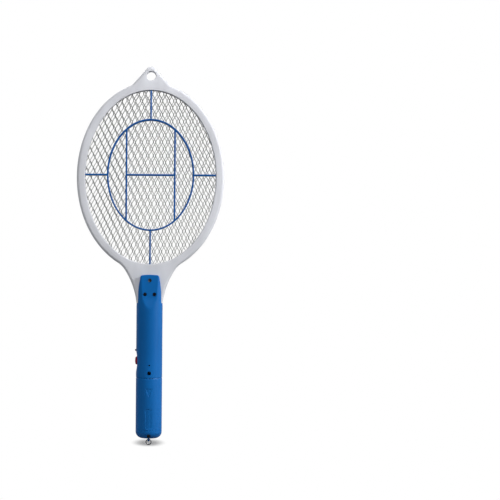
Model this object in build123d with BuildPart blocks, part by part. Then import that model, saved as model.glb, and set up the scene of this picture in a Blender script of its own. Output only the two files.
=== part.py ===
from build123d import *
import os
from math import atan2, cos, degrees, radians, sin, sqrt

os.makedirs("parts", exist_ok=True)

# Electric fly swatter.  Millimetres, +Z up along the handle, the nets lie in XZ planes,
# the screw side faces -Y and the push button faces -X.  The origin is the hang hole's centre.

# ---- head frame: two mirrored mouldings that meet on y = 0 ----
hang_hole_radius = 6.0
tip_radius = 7.5
tip_rise = 4.8  # centre of the tip's arc above the hang hole
tip_flank_angle = 41.7  # from the vertical
tip_blend_radius = 12.0
hole_to_oval = 8.0  # hang hole down to the top of the oval
head_half_width = 95.7
head_half_height = 123.4
rim_width = 10.7
frame_half_thickness = 8.0
frame_wall = 2.2
lip_thickness = 4.0
rim_bevel_width = 2.6
rim_bevel_depth = 2.2
yoke_length = 39.9  # bottom of the oval down to the handle's shoulder
yoke_arc_radius = 100.0
yoke_arc_lean = 6.5  # of the flank where it reaches the handle
yoke_blend_radius = 30.0
pocket_rib = 1.6  # keeps the ring stack in place across the yoke
tang_length = 25.0
lead_gap_half_width = 8.0  # notch in the pocket rib for the net tabs and leads

# ---- ring stack inside the frame, from the lip to the middle ----
ring_clearance = 0.3
ring_setback = 0.5  # how far the rings hide behind the lip's edge
rib_width = 2.2
rib_setback = 0.8  # ribs stay this far behind the frame's face
rib_band_side = 29.3  # edge of the opening to the rib oval, at the sides
rib_band_end = 41.0  # and at the ends
grille_rise = 3.0  # centre of the rib oval above the head's centre
upright_offset = 31.4
foot_width = 7.0  # feet at the ribs' ends sit in notches behind the lip
foot_length = 5.0
foot_thickness = 2.0
foot_clearance = 0.2
net_thickness = 0.7
strand_width = 0.65
strand_inset = 0.03
diamond_width = 8.8
diamond_height = 17.8
net_tab_width = 4.0
net_tab_length = 6.0
net_tab_spacing = 5.6

# ---- handle: two shells split on y = 0 ----
handle_length = 96.7  # shoulder down to the seam with the tail cover
handle_radius = 17.0
handle_wall = 2.6
neck_height = 36.9
neck_depth = 14.0  # solid part of the neck below the shoulder
neck_top_half_width = 12.3
neck_crown = 0.9
neck_corner_radius = 2.5
facet_start = 6.8  # below the shoulder
facet_break_rise = 6.0  # above the shoulder
facet_break_depth = 2.9  # under the round surface
facet_top_depth = 4.3
facet_blend_radius = 30.0
seam_chamfer = 0.4

# ---- fasteners ----
screw_head_radius = 2.3
screw_head_height = 1.6
screw_shank_radius = 1.3
screw_recess_clearance = 0.15
screw_hole_clearance = 0.1
screw_tower_radius = 3.2
neck_screw_length = 22.0
neck_screw_rise_top = 29.5  # above the shoulder
neck_screw_rise_low = 11.5
neck_screw_offset = 6.2
neck_screw_seat_top = 11.3  # seat under the head, from the middle plane
neck_screw_seat_low = 10.2
body_screw_length = 16.0
body_screw_rise = 6.4  # above the seam
body_screw_seat = 9.0

# ---- push button, switch and lamps, heights above the seam ----
scoop_rise = 21.2
scoop_length = 26.0
scoop_depth = 1.5
button_rise = 22.0
button_height = 10.5
button_width = 7.0
button_corner = 2.4
button_clearance = 0.3
button_proud = 1.3  # beyond the handle's side
button_crown = 0.8
button_flange = 1.2
button_flange_thickness = 1.2
button_stem_radius = 2.2
button_travel = 1.0
switch_size = 6.0
switch_depth = 3.5
switch_gap = 0.1
plunger_radius = 1.6
plunger_clearance = 0.06
plunger_height = 1.2
lamp_radius = 1.5
lamp_clearance = 0.1
lamp_length = 5.0
lamp_proud = 1.5
power_lamp_rise = 35.6
charge_lamp_rise = 16.4
charge_window_radius = 1.1
lamp_leg = 0.5
lamp_leg_spacing = 2.54

# ---- circuit board and what stands on it ----
board_rise = 12.4  # bottom edge above the seam
board_top_gap = 3.3  # below the end of the tang
board_notch_clearance = 0.3
board_width = 24.0
board_thickness = 1.6
board_front = 4.0  # front face behind the middle plane
board_post_radius = 1.6
board_post_inset = 4.0
transformer_width = 14.0
transformer_height = 12.0
transformer_depth = 11.0
capacitor_width = 9.0
capacitor_height = 6.0
capacitor_depth = 9.0
axial_spacing = 3.6
diode_radius = 1.3
diode_length = 5.2
resistor_radius = 1.1
resistor_length = 6.3
transistor_width = 4.6
transistor_height = 4.6
transistor_rise = 13.3  # above the board's bottom edge

# ---- spigot under the seam, plug and battery ----
spigot_length = 38.8
spigot_wall = 2.0
plug_base_thickness = 4.0
plug_clearance = 0.15
pin_radius = 2.0
pin_spacing = 19.0
pin_reach = 19.0
battery_width = 16.4
battery_depth = 14.4
battery_length = 29.0
battery_edge_radius = 1.5
battery_rail = 7.0  # height of the rails that carry the battery
battery_tab = 1.5
battery_tab_spacing = 10.2
strip_breadth = 2.0
strip_thickness = 0.5
strip_lane = 1.5  # where the net strips pass between the lower neck screws

# ---- tail cover, end cap and ring ----
seam_gap = 0.3
cover_clearance = 0.3
cover_length = 67.0
cover_wall = 2.3
cover_floor = 2.4
groove_width = 9.0
groove_length = 25.0
groove_depth = 0.5
cap_height = 11.4
cap_corner_radius = 8.8
cap_wall = 2.2
tongue_half_width = 5.0
tongue_half_depth = 4.8
cap_screw_length = 13.0
cap_screw_rise = 3.6  # above the cap's flat end
cap_screw_seat = 11.2
lug_drop = 4.6
lug_radius = 2.9
lug_thickness = 2.6
lug_hole_radius = 1.3
ring_radius = 3.3
ring_wire_radius = 0.65
ring_hang = 0.3  # wire's centre below the hole's centre

# ---- levels and radii that follow ----
head_z = -hole_to_oval - head_half_height
shoulder_z = head_z - head_half_height - yoke_length
neck_top_z = shoulder_z + neck_height
seam_z = shoulder_z - handle_length
spigot_z = seam_z - spigot_length
tang_z = shoulder_z - tang_length
opening = (head_half_width - rim_width, head_half_height - rim_width)
pocket = (head_half_width - frame_wall, head_half_height - frame_wall)
ring_outer = (pocket[0] - ring_clearance, pocket[1] - ring_clearance)
ring_inner = (opening[0] + ring_setback, opening[1] + ring_setback)
pocket_depth = frame_half_thickness - lip_thickness
net_back = pocket_depth - net_thickness
spacer_thickness = net_back - net_thickness / 2
grille_z = head_z + grille_rise
bore_radius = handle_radius - handle_wall
spigot_radius = handle_radius - cover_wall - cover_clearance
spigot_bore = spigot_radius - spigot_wall
tang_half_width = sqrt(bore_radius**2 - frame_half_thickness**2) - ring_clearance
cover_top_z = seam_z - seam_gap
cover_end_z = cover_top_z - cover_length
cap_end_z = cover_end_z - cap_height
board_z = seam_z + board_rise
board_top_z = tang_z - board_top_gap
board_length = board_top_z - board_z
plug_top_z = spigot_z + plug_base_thickness
battery_z = plug_top_z + battery_rail
button_z = seam_z + button_rise
power_lamp_z = seam_z + power_lamp_rise
charge_lamp_z = seam_z + charge_lamp_rise
body_screw_z = seam_z + body_screw_rise
cap_screw_z = cap_end_z + cap_screw_rise
neck_screws = [
    (0, shoulder_z + neck_screw_rise_top, neck_screw_seat_top),
    (-neck_screw_offset, shoulder_z + neck_screw_rise_low, neck_screw_seat_low),
    (neck_screw_offset, shoulder_z + neck_screw_rise_low, neck_screw_seat_low),
]
neck_screws_xz = [(x, z) for x, z, seat in neck_screws]


# ---- shared outlines ----
def yoke_plan(inset):
    """Flared yoke from the oval down to the handle's shoulder, inset from its outer line."""
    arc_radius = yoke_arc_radius + inset
    centre_x = handle_radius + yoke_arc_radius * cos(radians(yoke_arc_lean))
    centre_z = shoulder_z - yoke_arc_radius * sin(radians(yoke_arc_lean))
    join_z = head_z - 0.84 * head_half_height
    foot_z = shoulder_z + inset
    start = 180 - degrees(atan2(foot_z - centre_z, sqrt(arc_radius**2 - (foot_z - centre_z) ** 2)))
    end = 180 - degrees(atan2(join_z - centre_z, sqrt(arc_radius**2 - (join_z - centre_z) ** 2)))
    with BuildSketch(Plane.XZ) as plan:
        with BuildLine():
            flank = CenterArc((centre_x, centre_z), arc_radius, start, end - start)
            Polyline(flank @ 1, (0, join_z), (0, foot_z), flank @ 0)
        make_face()
        mirror(about=Plane.YZ)
    return plan.sketch


def oval_band(outer, inner, gap):
    """Flat band between two ovals given as (half width, half height), gap in front of y = 0."""
    with BuildSketch(Plane.XZ.offset(gap)) as band:
        with Locations((0, head_z)):
            Ellipse(*outer)
            Ellipse(*inner, mode=Mode.SUBTRACT)
    return band.sketch


def foot_plan(clearance):
    """The four feet of a guard grille, one at each end of its upright and of its cross rib."""
    with BuildSketch(Plane.XZ) as plan:
        with Locations((0, grille_z)):
            Rectangle(2 * (opening[0] + foot_length + clearance), foot_width + 2 * clearance)
        with Locations((0, head_z)):
            Rectangle(foot_width + 2 * clearance, 2 * (opening[1] + foot_length + clearance))
            Ellipse(opening[0] - foot_clearance, opening[1] - foot_clearance, mode=Mode.SUBTRACT)
            Ellipse(*ring_outer, mode=Mode.INTERSECT)
    return plan.sketch


def screw(length):
    """Pan-head screw with its seat at the origin and its shank along -Z."""
    with BuildPart() as fastener:
        with BuildSketch(Plane.XY):
            Circle(screw_head_radius)
        extrude(amount=screw_head_height)
        with BuildSketch(Plane.XY):
            Circle(screw_shank_radius)
        extrude(amount=-length)
    return fastener.part


def front_plane(x, z, depth):
    """Plane at a point in front of y = 0 that looks out towards -Y."""
    return Plane(origin=(x, -depth, z), x_dir=(1, 0, 0), z_dir=(0, -1, 0))


# ---- head frame ----
flank_direction = Vector(sin(radians(tip_flank_angle)), -cos(radians(tip_flank_angle)))
flank_start = Vector(0, tip_rise) + Vector(
    tip_radius * cos(radians(tip_flank_angle)), tip_radius * sin(radians(tip_flank_angle))
)
flank_foot_z = head_z + 0.94 * head_half_height
flank_foot = flank_start + flank_direction * ((flank_start.Y - flank_foot_z) / -flank_direction.Y)
with BuildSketch(Plane.XZ) as frame_plan:
    with Locations((0, head_z)):
        Ellipse(head_half_width, head_half_height)
    with BuildLine():
        ThreePointArc(
            (-flank_start.X, flank_start.Y), (0, tip_rise + tip_radius), (flank_start.X, flank_start.Y)
        )
        Polyline(
            (flank_start.X, flank_start.Y),
            (flank_foot.X, flank_foot.Y),
            (-flank_foot.X, flank_foot.Y),
            (-flank_start.X, flank_start.Y),
        )
    make_face()
    add(yoke_plan(0))
with BuildSketch(Plane.XZ) as tang_plan:
    with Locations((0, tang_z)):
        Rectangle(2 * tang_half_width, tang_length + frame_wall, align=(Align.CENTER, Align.MIN))
with BuildSketch(Plane.XZ) as frame_cavity:
    add(yoke_plan(frame_wall))
    with Locations((0, tang_z)):
        Rectangle(
            2 * (tang_half_width - frame_wall),
            tang_length + 2 * frame_wall,
            align=(Align.CENTER, Align.MIN),
        )
    with Locations((0, head_z)):
        Ellipse(pocket[0] + pocket_rib, pocket[1] + pocket_rib, mode=Mode.SUBTRACT)
        Ellipse(*pocket)
    with Locations((0, head_z - pocket[1])):
        Rectangle(2 * lead_gap_half_width, 6 * pocket_rib)
    with Locations(*neck_screws_xz):
        Circle(screw_tower_radius, mode=Mode.SUBTRACT)
with BuildPart() as front_frame:
    extrude(frame_plan.sketch, amount=frame_half_thickness)
    corners = front_frame.edges().filter_by(Axis.Y)
    tip_corners = corners.filter_by(lambda e: e.center().Z > head_z and e.center().Z < 0)
    yoke_corners = corners.filter_by(lambda e: shoulder_z + 1 < e.center().Z < head_z)
    fillet(tip_corners, tip_blend_radius)
    fillet(yoke_corners, yoke_blend_radius)
    rim_edges = front_frame.faces().sort_by(Axis.Y)[0].outer_wire().edges()
    rim_edges = rim_edges.filter_by(lambda e: e.center().Z > shoulder_z + 0.01)
    chamfer(rim_edges, rim_bevel_width, rim_bevel_depth)
    extrude(tang_plan.sketch, amount=frame_half_thickness)
    extrude(frame_cavity.sketch, amount=pocket_depth, mode=Mode.SUBTRACT)
    with BuildSketch(Plane.XZ) as openings:
        with Locations((0, head_z)):
            Ellipse(*opening)
        Circle(hang_hole_radius)
        with Locations(*neck_screws_xz):
            Circle(screw_shank_radius + screw_hole_clearance)
    extrude(amount=frame_half_thickness, mode=Mode.SUBTRACT)
    extrude(foot_plan(foot_clearance), amount=pocket_depth + foot_thickness, mode=Mode.SUBTRACT)
front_frame.part.label = "front_frame"
export_step(front_frame.part, "parts/front_frame.step")

with BuildPart() as rear_frame:
    mirror(front_frame.part, about=Plane.XZ)
rear_frame.part.label = "rear_frame"
export_step(rear_frame.part, "parts/rear_frame.step")

# ---- guard grilles: an oval rib, two uprights and four spokes that end in feet ----
rib_oval = (opening[0] - rib_band_side, opening[1] - rib_band_end)
rib_front = frame_half_thickness - rib_setback
with BuildSketch(Plane.XZ.offset(pocket_depth)) as rib_plan:
    with Locations((0, grille_z)):
        Rectangle(2 * opening[0], rib_width)
        Rectangle(rib_width, 2 * opening[1] + 2 * grille_rise)
        Ellipse(rib_oval[0] + rib_width / 2, rib_oval[1] + rib_width / 2)
        Ellipse(rib_oval[0] - rib_width / 2, rib_oval[1] - rib_width / 2, mode=Mode.SUBTRACT)
        Rectangle(2 * upright_offset, rib_width)
    with Locations((-upright_offset, grille_z), (upright_offset, grille_z)):
        Rectangle(rib_width, 2 * rib_oval[1] * sqrt(1 - (upright_offset / rib_oval[0]) ** 2))
    with Locations((0, head_z)):
        Ellipse(opening[0] - foot_clearance, opening[1] - foot_clearance, mode=Mode.INTERSECT)
with BuildSketch(Plane.XZ.offset(pocket_depth)) as foot_pads:
    add(foot_plan(0))
with BuildPart() as front_guard:
    extrude(rib_plan.sketch, amount=rib_front - pocket_depth)
    extrude(foot_pads.sketch, amount=foot_thickness)
front_guard.part.label = "front_guard"
export_step(front_guard.part, "parts/front_guard.step")

with BuildPart() as rear_guard:
    mirror(front_guard.part, about=Plane.XZ)
rear_guard.part.label = "rear_guard"
export_step(rear_guard.part, "parts/rear_guard.step")


# ---- nets: a flat rim and two lays of slanting strands, which make diamonds ----
strand_angle = degrees(atan2(diamond_width, diamond_height))
strand_thickness = (net_thickness - 3 * strand_inset) / 2
strand_run = 2 * opening[1] / cos(radians(strand_angle)) + 2 * diamond_height
strand_reach = int((opening[0] + opening[1] * diamond_width / diamond_height) / diamond_width) + 1


def net(back, shift, tab_x):
    """Net with its back face at y = -back, its diamonds moved by a share of their width."""
    with BuildPart() as sheet:
        extrude(oval_band(ring_outer, ring_inner, back), amount=net_thickness)
        for side in (0, 1):
            lay_back = back + strand_inset + side * (strand_thickness + strand_inset)
            with BuildSketch(Plane.XZ.offset(lay_back)):
                for step in range(-strand_reach, strand_reach + 1):
                    with Locations(((step + shift) * diamond_width, head_z)):
                        Rectangle(strand_width, strand_run, rotation=(1 - 2 * side) * strand_angle)
                with Locations((0, head_z)):
                    Ellipse(*[radius + ring_clearance for radius in ring_inner], mode=Mode.INTERSECT)
            extrude(amount=strand_thickness)
        with BuildSketch(Plane.XZ.offset(back)):
            with Locations((tab_x, head_z - (ring_outer[1] + ring_inner[1]) / 2)):
                Rectangle(
                    net_tab_width,
                    (ring_outer[1] - ring_inner[1]) / 2 + net_tab_length,
                    align=(Align.CENTER, Align.MAX),
                )
        extrude(amount=net_thickness)
    return sheet.part


with BuildPart() as front_net:
    add(net(net_back, 0, -net_tab_spacing))
front_net.part.label = "front_net"
export_step(front_net.part, "parts/front_net.step")

with BuildPart() as centre_net:
    add(net(-net_thickness / 2, 1 / 3, 0))
centre_net.part.label = "centre_net"
export_step(centre_net.part, "parts/centre_net.step")

with BuildPart() as rear_net:
    add(net(-net_back - net_thickness, 2 / 3, net_tab_spacing))
rear_net.part.label = "rear_net"
export_step(rear_net.part, "parts/rear_net.step")

# ---- spacer rings keep the charged net away from the outer two ----
with BuildPart() as front_spacer:
    extrude(oval_band(ring_outer, ring_inner, net_thickness / 2), amount=spacer_thickness)
front_spacer.part.label = "front_spacer"
export_step(front_spacer.part, "parts/front_spacer.step")

with BuildPart() as rear_spacer:
    mirror(front_spacer.part, about=Plane.XZ)
rear_spacer.part.label = "rear_spacer"
export_step(rear_spacer.part, "parts/rear_spacer.step")

# ---- handle: the outer form, which both shells share ----
facet_low = (-handle_radius, shoulder_z - facet_start)
facet_break = (-handle_radius + facet_break_depth, shoulder_z + facet_break_rise)
facet_high = (-handle_radius + facet_top_depth, neck_top_z + neck_corner_radius)
with BuildSketch(Plane.YZ) as facet_cut:
    with BuildLine():
        Polyline(facet_low, facet_break, facet_high, (2 * facet_low[0], facet_high[1]), facet_low)
    make_face()
    fillet(facet_cut.vertices().sort_by_distance((*facet_break, 0))[0], facet_blend_radius)
with BuildSketch(Plane.XZ.offset(-handle_radius)) as neck_plan:
    with BuildLine():
        crown = ThreePointArc(
            (-neck_top_half_width, neck_top_z - neck_crown),
            (0, neck_top_z),
            (neck_top_half_width, neck_top_z - neck_crown),
        )
        Polyline(
            crown @ 1,
            (handle_radius, shoulder_z),
            (handle_radius, shoulder_z - neck_depth),
            (-handle_radius, shoulder_z - neck_depth),
            (-handle_radius, shoulder_z),
            crown @ 0,
        )
    make_face()
    fillet(neck_plan.vertices().group_by(Axis.Y)[-1], neck_corner_radius)
with BuildPart() as neck_form:
    extrude(neck_plan.sketch, amount=2 * handle_radius)
    with Locations((0, 0, (neck_top_z + shoulder_z - neck_depth) / 2)):
        Cylinder(handle_radius, neck_height + neck_depth, mode=Mode.INTERSECT)

with BuildSketch(Plane.XZ) as handle_profile:
    with BuildLine():
        Polyline(
            (0, spigot_z),
            (spigot_radius, spigot_z),
            (spigot_radius, seam_z),
            (handle_radius - seam_chamfer, seam_z),
            (handle_radius, seam_z + seam_chamfer),
            (handle_radius, shoulder_z),
            (0, shoulder_z),
            close=True,
        )
    make_face()
with BuildSketch(Plane.XZ) as hollow_profile:
    spigot_step_z = seam_z + handle_wall
    neck_floor_z = shoulder_z - neck_depth
    with Locations((0, spigot_z)):
        Rectangle(spigot_bore, spigot_step_z - spigot_z, align=Align.MIN)
    with Locations((0, spigot_step_z)):
        Rectangle(bore_radius, neck_floor_z - spigot_step_z, align=Align.MIN)
with BuildPart() as tang_slot:
    with BuildSketch(Plane.XY.offset(neck_floor_z)):
        Circle(bore_radius)
        Rectangle(2 * handle_radius, 2 * frame_half_thickness, mode=Mode.INTERSECT)
    extrude(amount=neck_depth)
    with BuildSketch(Plane.XY.offset(shoulder_z)):
        Rectangle(4 * handle_radius, 2 * frame_half_thickness)
    extrude(amount=2 * neck_height)
with BuildPart() as scoop:
    scoop_radius = (scoop_length**2 / 4 + scoop_depth**2) / (2 * scoop_depth)
    with BuildSketch(Plane.XZ.offset(-handle_radius)):
        with Locations((-handle_radius + scoop_depth - scoop_radius, seam_z + scoop_rise)):
            Circle(scoop_radius)
    extrude(amount=2 * handle_radius)
with BuildPart() as side_holes:
    with BuildSketch(Plane.YZ.offset(-bore_radius + 2 * button_flange)):
        with Locations((0, button_z)):
            RectangleRounded(
                button_width + 2 * button_clearance,
                button_height + 2 * button_clearance,
                button_corner + button_clearance,
            )
        with Locations((0, power_lamp_z)):
            Circle(lamp_radius + lamp_clearance)
    extrude(amount=-2 * handle_wall - 2 * button_flange)

with BuildPart() as facets:
    extrude(facet_cut.sketch, amount=handle_radius, both=True)
    mirror(about=Plane.XZ)
with BuildPart() as handle_form:
    revolve(handle_profile.sketch, axis=Axis.Z)
    add(neck_form.part)
    add(facets.part, mode=Mode.SUBTRACT)
    revolve(hollow_profile.sketch, axis=Axis.Z, mode=Mode.SUBTRACT)
    add(tang_slot.part, mode=Mode.SUBTRACT)
    add(scoop.part, mode=Mode.SUBTRACT)
    add(side_holes.part, mode=Mode.SUBTRACT)

recess_radius = screw_head_radius + screw_recess_clearance
shank_hole_radius = screw_shank_radius + screw_hole_clearance
with BuildPart() as handle_front:
    add(handle_form.part)
    split(bisect_by=Plane.XZ, keep=Keep.TOP)
    with BuildSketch(Plane.XZ):
        with Locations((0, body_screw_z)):
            Circle(screw_tower_radius)
    extrude(amount=handle_radius - handle_wall / 2)
    for x, z, seat in [*neck_screws, (0, body_screw_z, body_screw_seat)]:
        with BuildSketch(Plane.XZ.offset(seat)):
            with Locations((x, z)):
                Circle(recess_radius)
        extrude(amount=handle_radius, mode=Mode.SUBTRACT)
        with BuildSketch(Plane.XZ):
            with Locations((x, z)):
                Circle(shank_hole_radius)
        extrude(amount=seat, mode=Mode.SUBTRACT)
    with BuildSketch(Plane.XZ.offset(handle_wall)):
        with Locations((0, charge_lamp_z)):
            Circle(charge_window_radius)
    extrude(amount=handle_radius, mode=Mode.SUBTRACT)
handle_front.part.label = "handle_front"
export_step(handle_front.part, "parts/handle_front.step")

board_back = board_front + board_thickness
post_x = board_width / 2 - board_post_inset
posts = [
    (x, z) for x in (-post_x, post_x) for z in (board_z + board_post_inset, board_top_z - board_post_inset)
]
with BuildPart() as handle_back:
    add(handle_form.part)
    split(bisect_by=Plane.XZ, keep=Keep.BOTTOM)
    with BuildSketch(Plane.XZ):
        with Locations((0, body_screw_z)):
            Circle(screw_tower_radius)
    extrude(amount=-handle_radius + handle_wall / 2)
    with BuildSketch(Plane.XZ.offset(-board_back)):
        with Locations(*posts):
            Circle(board_post_radius)
    extrude(amount=-sqrt(bore_radius**2 - post_x**2) + board_back - handle_wall / 2)
    for x, z, seat in neck_screws:
        with BuildSketch(Plane.XZ):
            with Locations((x, z)):
                Circle(shank_hole_radius)
        extrude(amount=seat - neck_screw_length - screw_hole_clearance, mode=Mode.SUBTRACT)
    with BuildSketch(Plane.XZ):
        with Locations((0, body_screw_z)):
            Circle(shank_hole_radius)
    extrude(amount=body_screw_seat - body_screw_length - screw_hole_clearance, mode=Mode.SUBTRACT)
handle_back.part.label = "handle_back"
export_step(handle_back.part, "parts/handle_back.step")

with BuildPart() as neck_screw_set:
    with Locations(*[front_plane(x, z, seat) for x, z, seat in neck_screws]):
        add(screw(neck_screw_length))
neck_screw_set.part.label = "neck_screws"
export_step(neck_screw_set.part, "parts/neck_screws.step")

with BuildPart() as body_screw:
    with Locations(front_plane(0, body_screw_z, body_screw_seat)):
        add(screw(body_screw_length))
body_screw.part.label = "body_screw"
export_step(body_screw.part, "parts/body_screw.step")

# ---- push button over a side-acting switch ----
button_face_x = -handle_radius - button_proud
flange_half_width = button_width / 2 + button_flange
flange_x = -sqrt(bore_radius**2 - flange_half_width**2) + button_clearance
stem_x = flange_x + button_flange_thickness
stem_end_x = stem_x + switch_gap * 10
plunger_x = stem_end_x + switch_gap
switch_x = plunger_x + plunger_height
with BuildPart() as zap_button:
    with BuildSketch(Plane.YZ.offset(flange_x)):
        with Locations((0, button_z)):
            RectangleRounded(button_width, button_height, button_corner)
    extrude(amount=button_face_x - flange_x)
    crown_radius = (button_height**2 / 4 + button_crown**2) / (2 * button_crown)
    with Locations((button_face_x + crown_radius, 0, button_z)):
        Cylinder(crown_radius, 2 * button_width, rotation=(90, 0, 0), mode=Mode.INTERSECT)
    with BuildSketch(Plane.YZ.offset(flange_x)):
        with Locations((0, button_z)):
            RectangleRounded(
                button_width + 2 * button_flange, button_height + 2 * button_flange, button_corner
            )
    extrude(amount=button_flange_thickness)
    with BuildSketch(Plane.YZ.offset(stem_x)):
        with Locations((0, button_z)):
            Circle(button_stem_radius)
    extrude(amount=stem_end_x - stem_x)
zap_button.part.label = "zap_button"
export_step(zap_button.part, "parts/zap_button.step")

with BuildPart() as switch_plunger:
    with BuildSketch(Plane.YZ.offset(plunger_x)):
        with Locations((0, button_z)):
            Circle(plunger_radius)
    extrude(amount=plunger_height + switch_depth / 4)
switch_plunger.part.label = "switch_plunger"
export_step(switch_plunger.part, "parts/switch_plunger.step")

with BuildPart() as switch_body:
    with BuildSketch(Plane.YZ.offset(switch_x)):
        with Locations((0, button_z)):
            Rectangle(switch_size, switch_size)
    extrude(amount=switch_depth)
    with BuildSketch(Plane.YZ.offset(switch_x)):
        with Locations((0, button_z)):
            Circle(plunger_radius + plunger_clearance)
    extrude(amount=switch_depth * 0.7, mode=Mode.SUBTRACT)
    with BuildSketch(Plane.XZ.offset(-switch_size / 2)):
        with Locations((switch_x + switch_depth / 2, button_z)):
            with GridLocations(switch_depth / 2, switch_size * 0.7, 2, 2):
                Rectangle(lamp_leg, lamp_leg)
    extrude(amount=switch_size / 2 - board_front)
switch_body.part.label = "switch_body"
export_step(switch_body.part, "parts/switch_body.step")


# ---- lamps ----
def lamp():
    """Round lamp with its back at the origin and its dome along +Z."""
    with BuildPart() as dome:
        with BuildSketch(Plane.XZ) as profile:
            with BuildLine():
                Polyline(
                    (0, 0),
                    (lamp_radius, 0),
                    (lamp_radius, lamp_length - 0.6 * lamp_radius),
                    (0.5 * lamp_radius, lamp_length),
                    (0, lamp_length),
                    close=True,
                )
            make_face()
        revolve(axis=Axis.Z)
    return dome.part


power_lamp_x = -handle_radius - lamp_proud + lamp_length
with BuildPart() as power_lamp:
    with Locations(Plane(origin=(power_lamp_x, 0, power_lamp_z), x_dir=(0, 1, 0), z_dir=(-1, 0, 0))):
        add(lamp())
    for leg_z in (power_lamp_z - lamp_leg_spacing / 2, power_lamp_z + lamp_leg_spacing / 2):
        with BuildSketch(Plane.XY.offset(leg_z - lamp_leg / 2)):
            with BuildLine():
                Polyline(
                    (power_lamp_x, -lamp_leg / 2),
                    (power_lamp_x + 3 * lamp_leg, -lamp_leg / 2),
                    (power_lamp_x + 3 * lamp_leg, board_front),
                    (power_lamp_x + 2 * lamp_leg, board_front),
                    (power_lamp_x + 2 * lamp_leg, lamp_leg / 2),
                    (power_lamp_x, lamp_leg / 2),
                    close=True,
                )
            make_face()
        extrude(amount=lamp_leg)
power_lamp.part.label = "power_lamp"
export_step(power_lamp.part, "parts/power_lamp.step")

charge_lamp_depth = bore_radius - button_clearance - lamp_length
with BuildPart() as charge_lamp:
    with Locations(front_plane(0, charge_lamp_z, charge_lamp_depth)):
        add(lamp())
    with BuildSketch(Plane.XZ.offset(charge_lamp_depth)):
        with Locations((0, charge_lamp_z)):
            with GridLocations(lamp_leg_spacing, 0, 2, 1):
                Rectangle(lamp_leg, lamp_leg)
    extrude(amount=-charge_lamp_depth - board_front)
charge_lamp.part.label = "charge_lamp"
export_step(charge_lamp.part, "parts/charge_lamp.step")

# ---- circuit board with the step-up circuit ----
with BuildPart() as circuit_board:
    with BuildSketch(Plane.XZ.offset(-board_front)):
        with Locations((0, board_z)):
            Rectangle(board_width, board_length, align=(Align.CENTER, Align.MIN))
        notch_depth = stem_x + button_travel + board_notch_clearance + board_width / 2
        notch_length = button_height + 2 * (button_flange + board_notch_clearance)
        with Locations((-board_width / 2, button_z)):
            Rectangle(2 * notch_depth, notch_length, mode=Mode.SUBTRACT)
    extrude(amount=-board_thickness)
circuit_board.part.label = "circuit_board"
export_step(circuit_board.part, "parts/circuit_board.step")

capacitor_z = board_top_z - capacitor_height / 2 - 2 * board_thickness
transformer_z = (power_lamp_z + 3 * lamp_leg + capacitor_z - capacitor_height / 2) / 2
with BuildPart() as transformer:
    with BuildSketch(Plane.XZ.offset(-board_front)):
        with Locations((0, transformer_z)):
            Rectangle(transformer_width, transformer_height)
    extrude(amount=transformer_depth)
    with BuildSketch(Plane.XZ.offset(-board_front + transformer_depth / 4)):
        with Locations((0, transformer_z)):
            Rectangle(transformer_width + 2, transformer_height * 0.55)
    extrude(amount=transformer_depth / 2)
transformer.part.label = "transformer"
export_step(transformer.part, "parts/transformer.step")

with BuildPart() as capacitors:
    with BuildSketch(Plane.XZ.offset(-board_front)):
        with Locations((0, capacitor_z)):
            with GridLocations(capacitor_width + 1, 0, 2, 1):
                RectangleRounded(capacitor_width, capacitor_height, 1.2)
    extrude(amount=capacitor_depth)
capacitors.part.label = "capacitors"
export_step(capacitors.part, "parts/capacitors.step")


def axial_row(count, x, z, radius, length):
    """Row of round parts that lie along Z on bent legs over the board's front."""
    axis_height = radius + lamp_leg
    leg_end = length / 2 + 3 * lamp_leg
    with BuildPart() as row:
        for place in range(count):
            column = x + (place - (count - 1) / 2) * axial_spacing
            with BuildSketch(Plane.XY.offset(z - length / 2)):
                with Locations((column, board_front - axis_height)):
                    Circle(radius)
            extrude(amount=length)
            with BuildSketch(Plane.YZ.offset(column - lamp_leg / 2)):
                with BuildLine():
                    Polyline(
                        (board_front - axis_height - lamp_leg / 2, z - leg_end),
                        (board_front, z - leg_end),
                        (board_front, z - leg_end + lamp_leg),
                        (board_front - axis_height + lamp_leg / 2, z - leg_end + lamp_leg),
                        (board_front - axis_height + lamp_leg / 2, z + leg_end - lamp_leg),
                        (board_front, z + leg_end - lamp_leg),
                        (board_front, z + leg_end),
                        (board_front - axis_height - lamp_leg / 2, z + leg_end),
                        close=True,
                    )
                make_face()
            extrude(amount=lamp_leg)
    return row.part


with BuildPart() as diodes:
    add(axial_row(3, board_width / 4, power_lamp_z - diode_length / 2, diode_radius, diode_length))
diodes.part.label = "diodes"
export_step(diodes.part, "parts/diodes.step")

with BuildPart() as resistors:
    resistor_z = board_z + 0.8 * resistor_length
    add(axial_row(3, board_width / 4 + 1, resistor_z, resistor_radius, resistor_length))
resistors.part.label = "resistors"
export_step(resistors.part, "parts/resistors.step")

transistor_z = board_z + transistor_rise
with BuildPart() as transistor:
    with BuildSketch(Plane.XZ.offset(-board_front + 2 * lamp_leg)):
        with Locations((board_width / 4, transistor_z)):
            Circle(transistor_width / 2)
        with Locations((board_width / 4, transistor_z - transistor_width / 4)):
            Rectangle(
                transistor_width, transistor_width / 2, align=(Align.CENTER, Align.MAX), mode=Mode.SUBTRACT
            )
    extrude(amount=transistor_height)
    with BuildSketch(Plane.XZ.offset(-board_front)):
        with Locations((board_width / 4, transistor_z + transistor_width / 6)):
            with GridLocations(1.27, 0, 3, 1):
                Rectangle(lamp_leg, lamp_leg)
    extrude(amount=2 * lamp_leg)
transistor.part.label = "transistor"
export_step(transistor.part, "parts/transistor.step")

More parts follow.
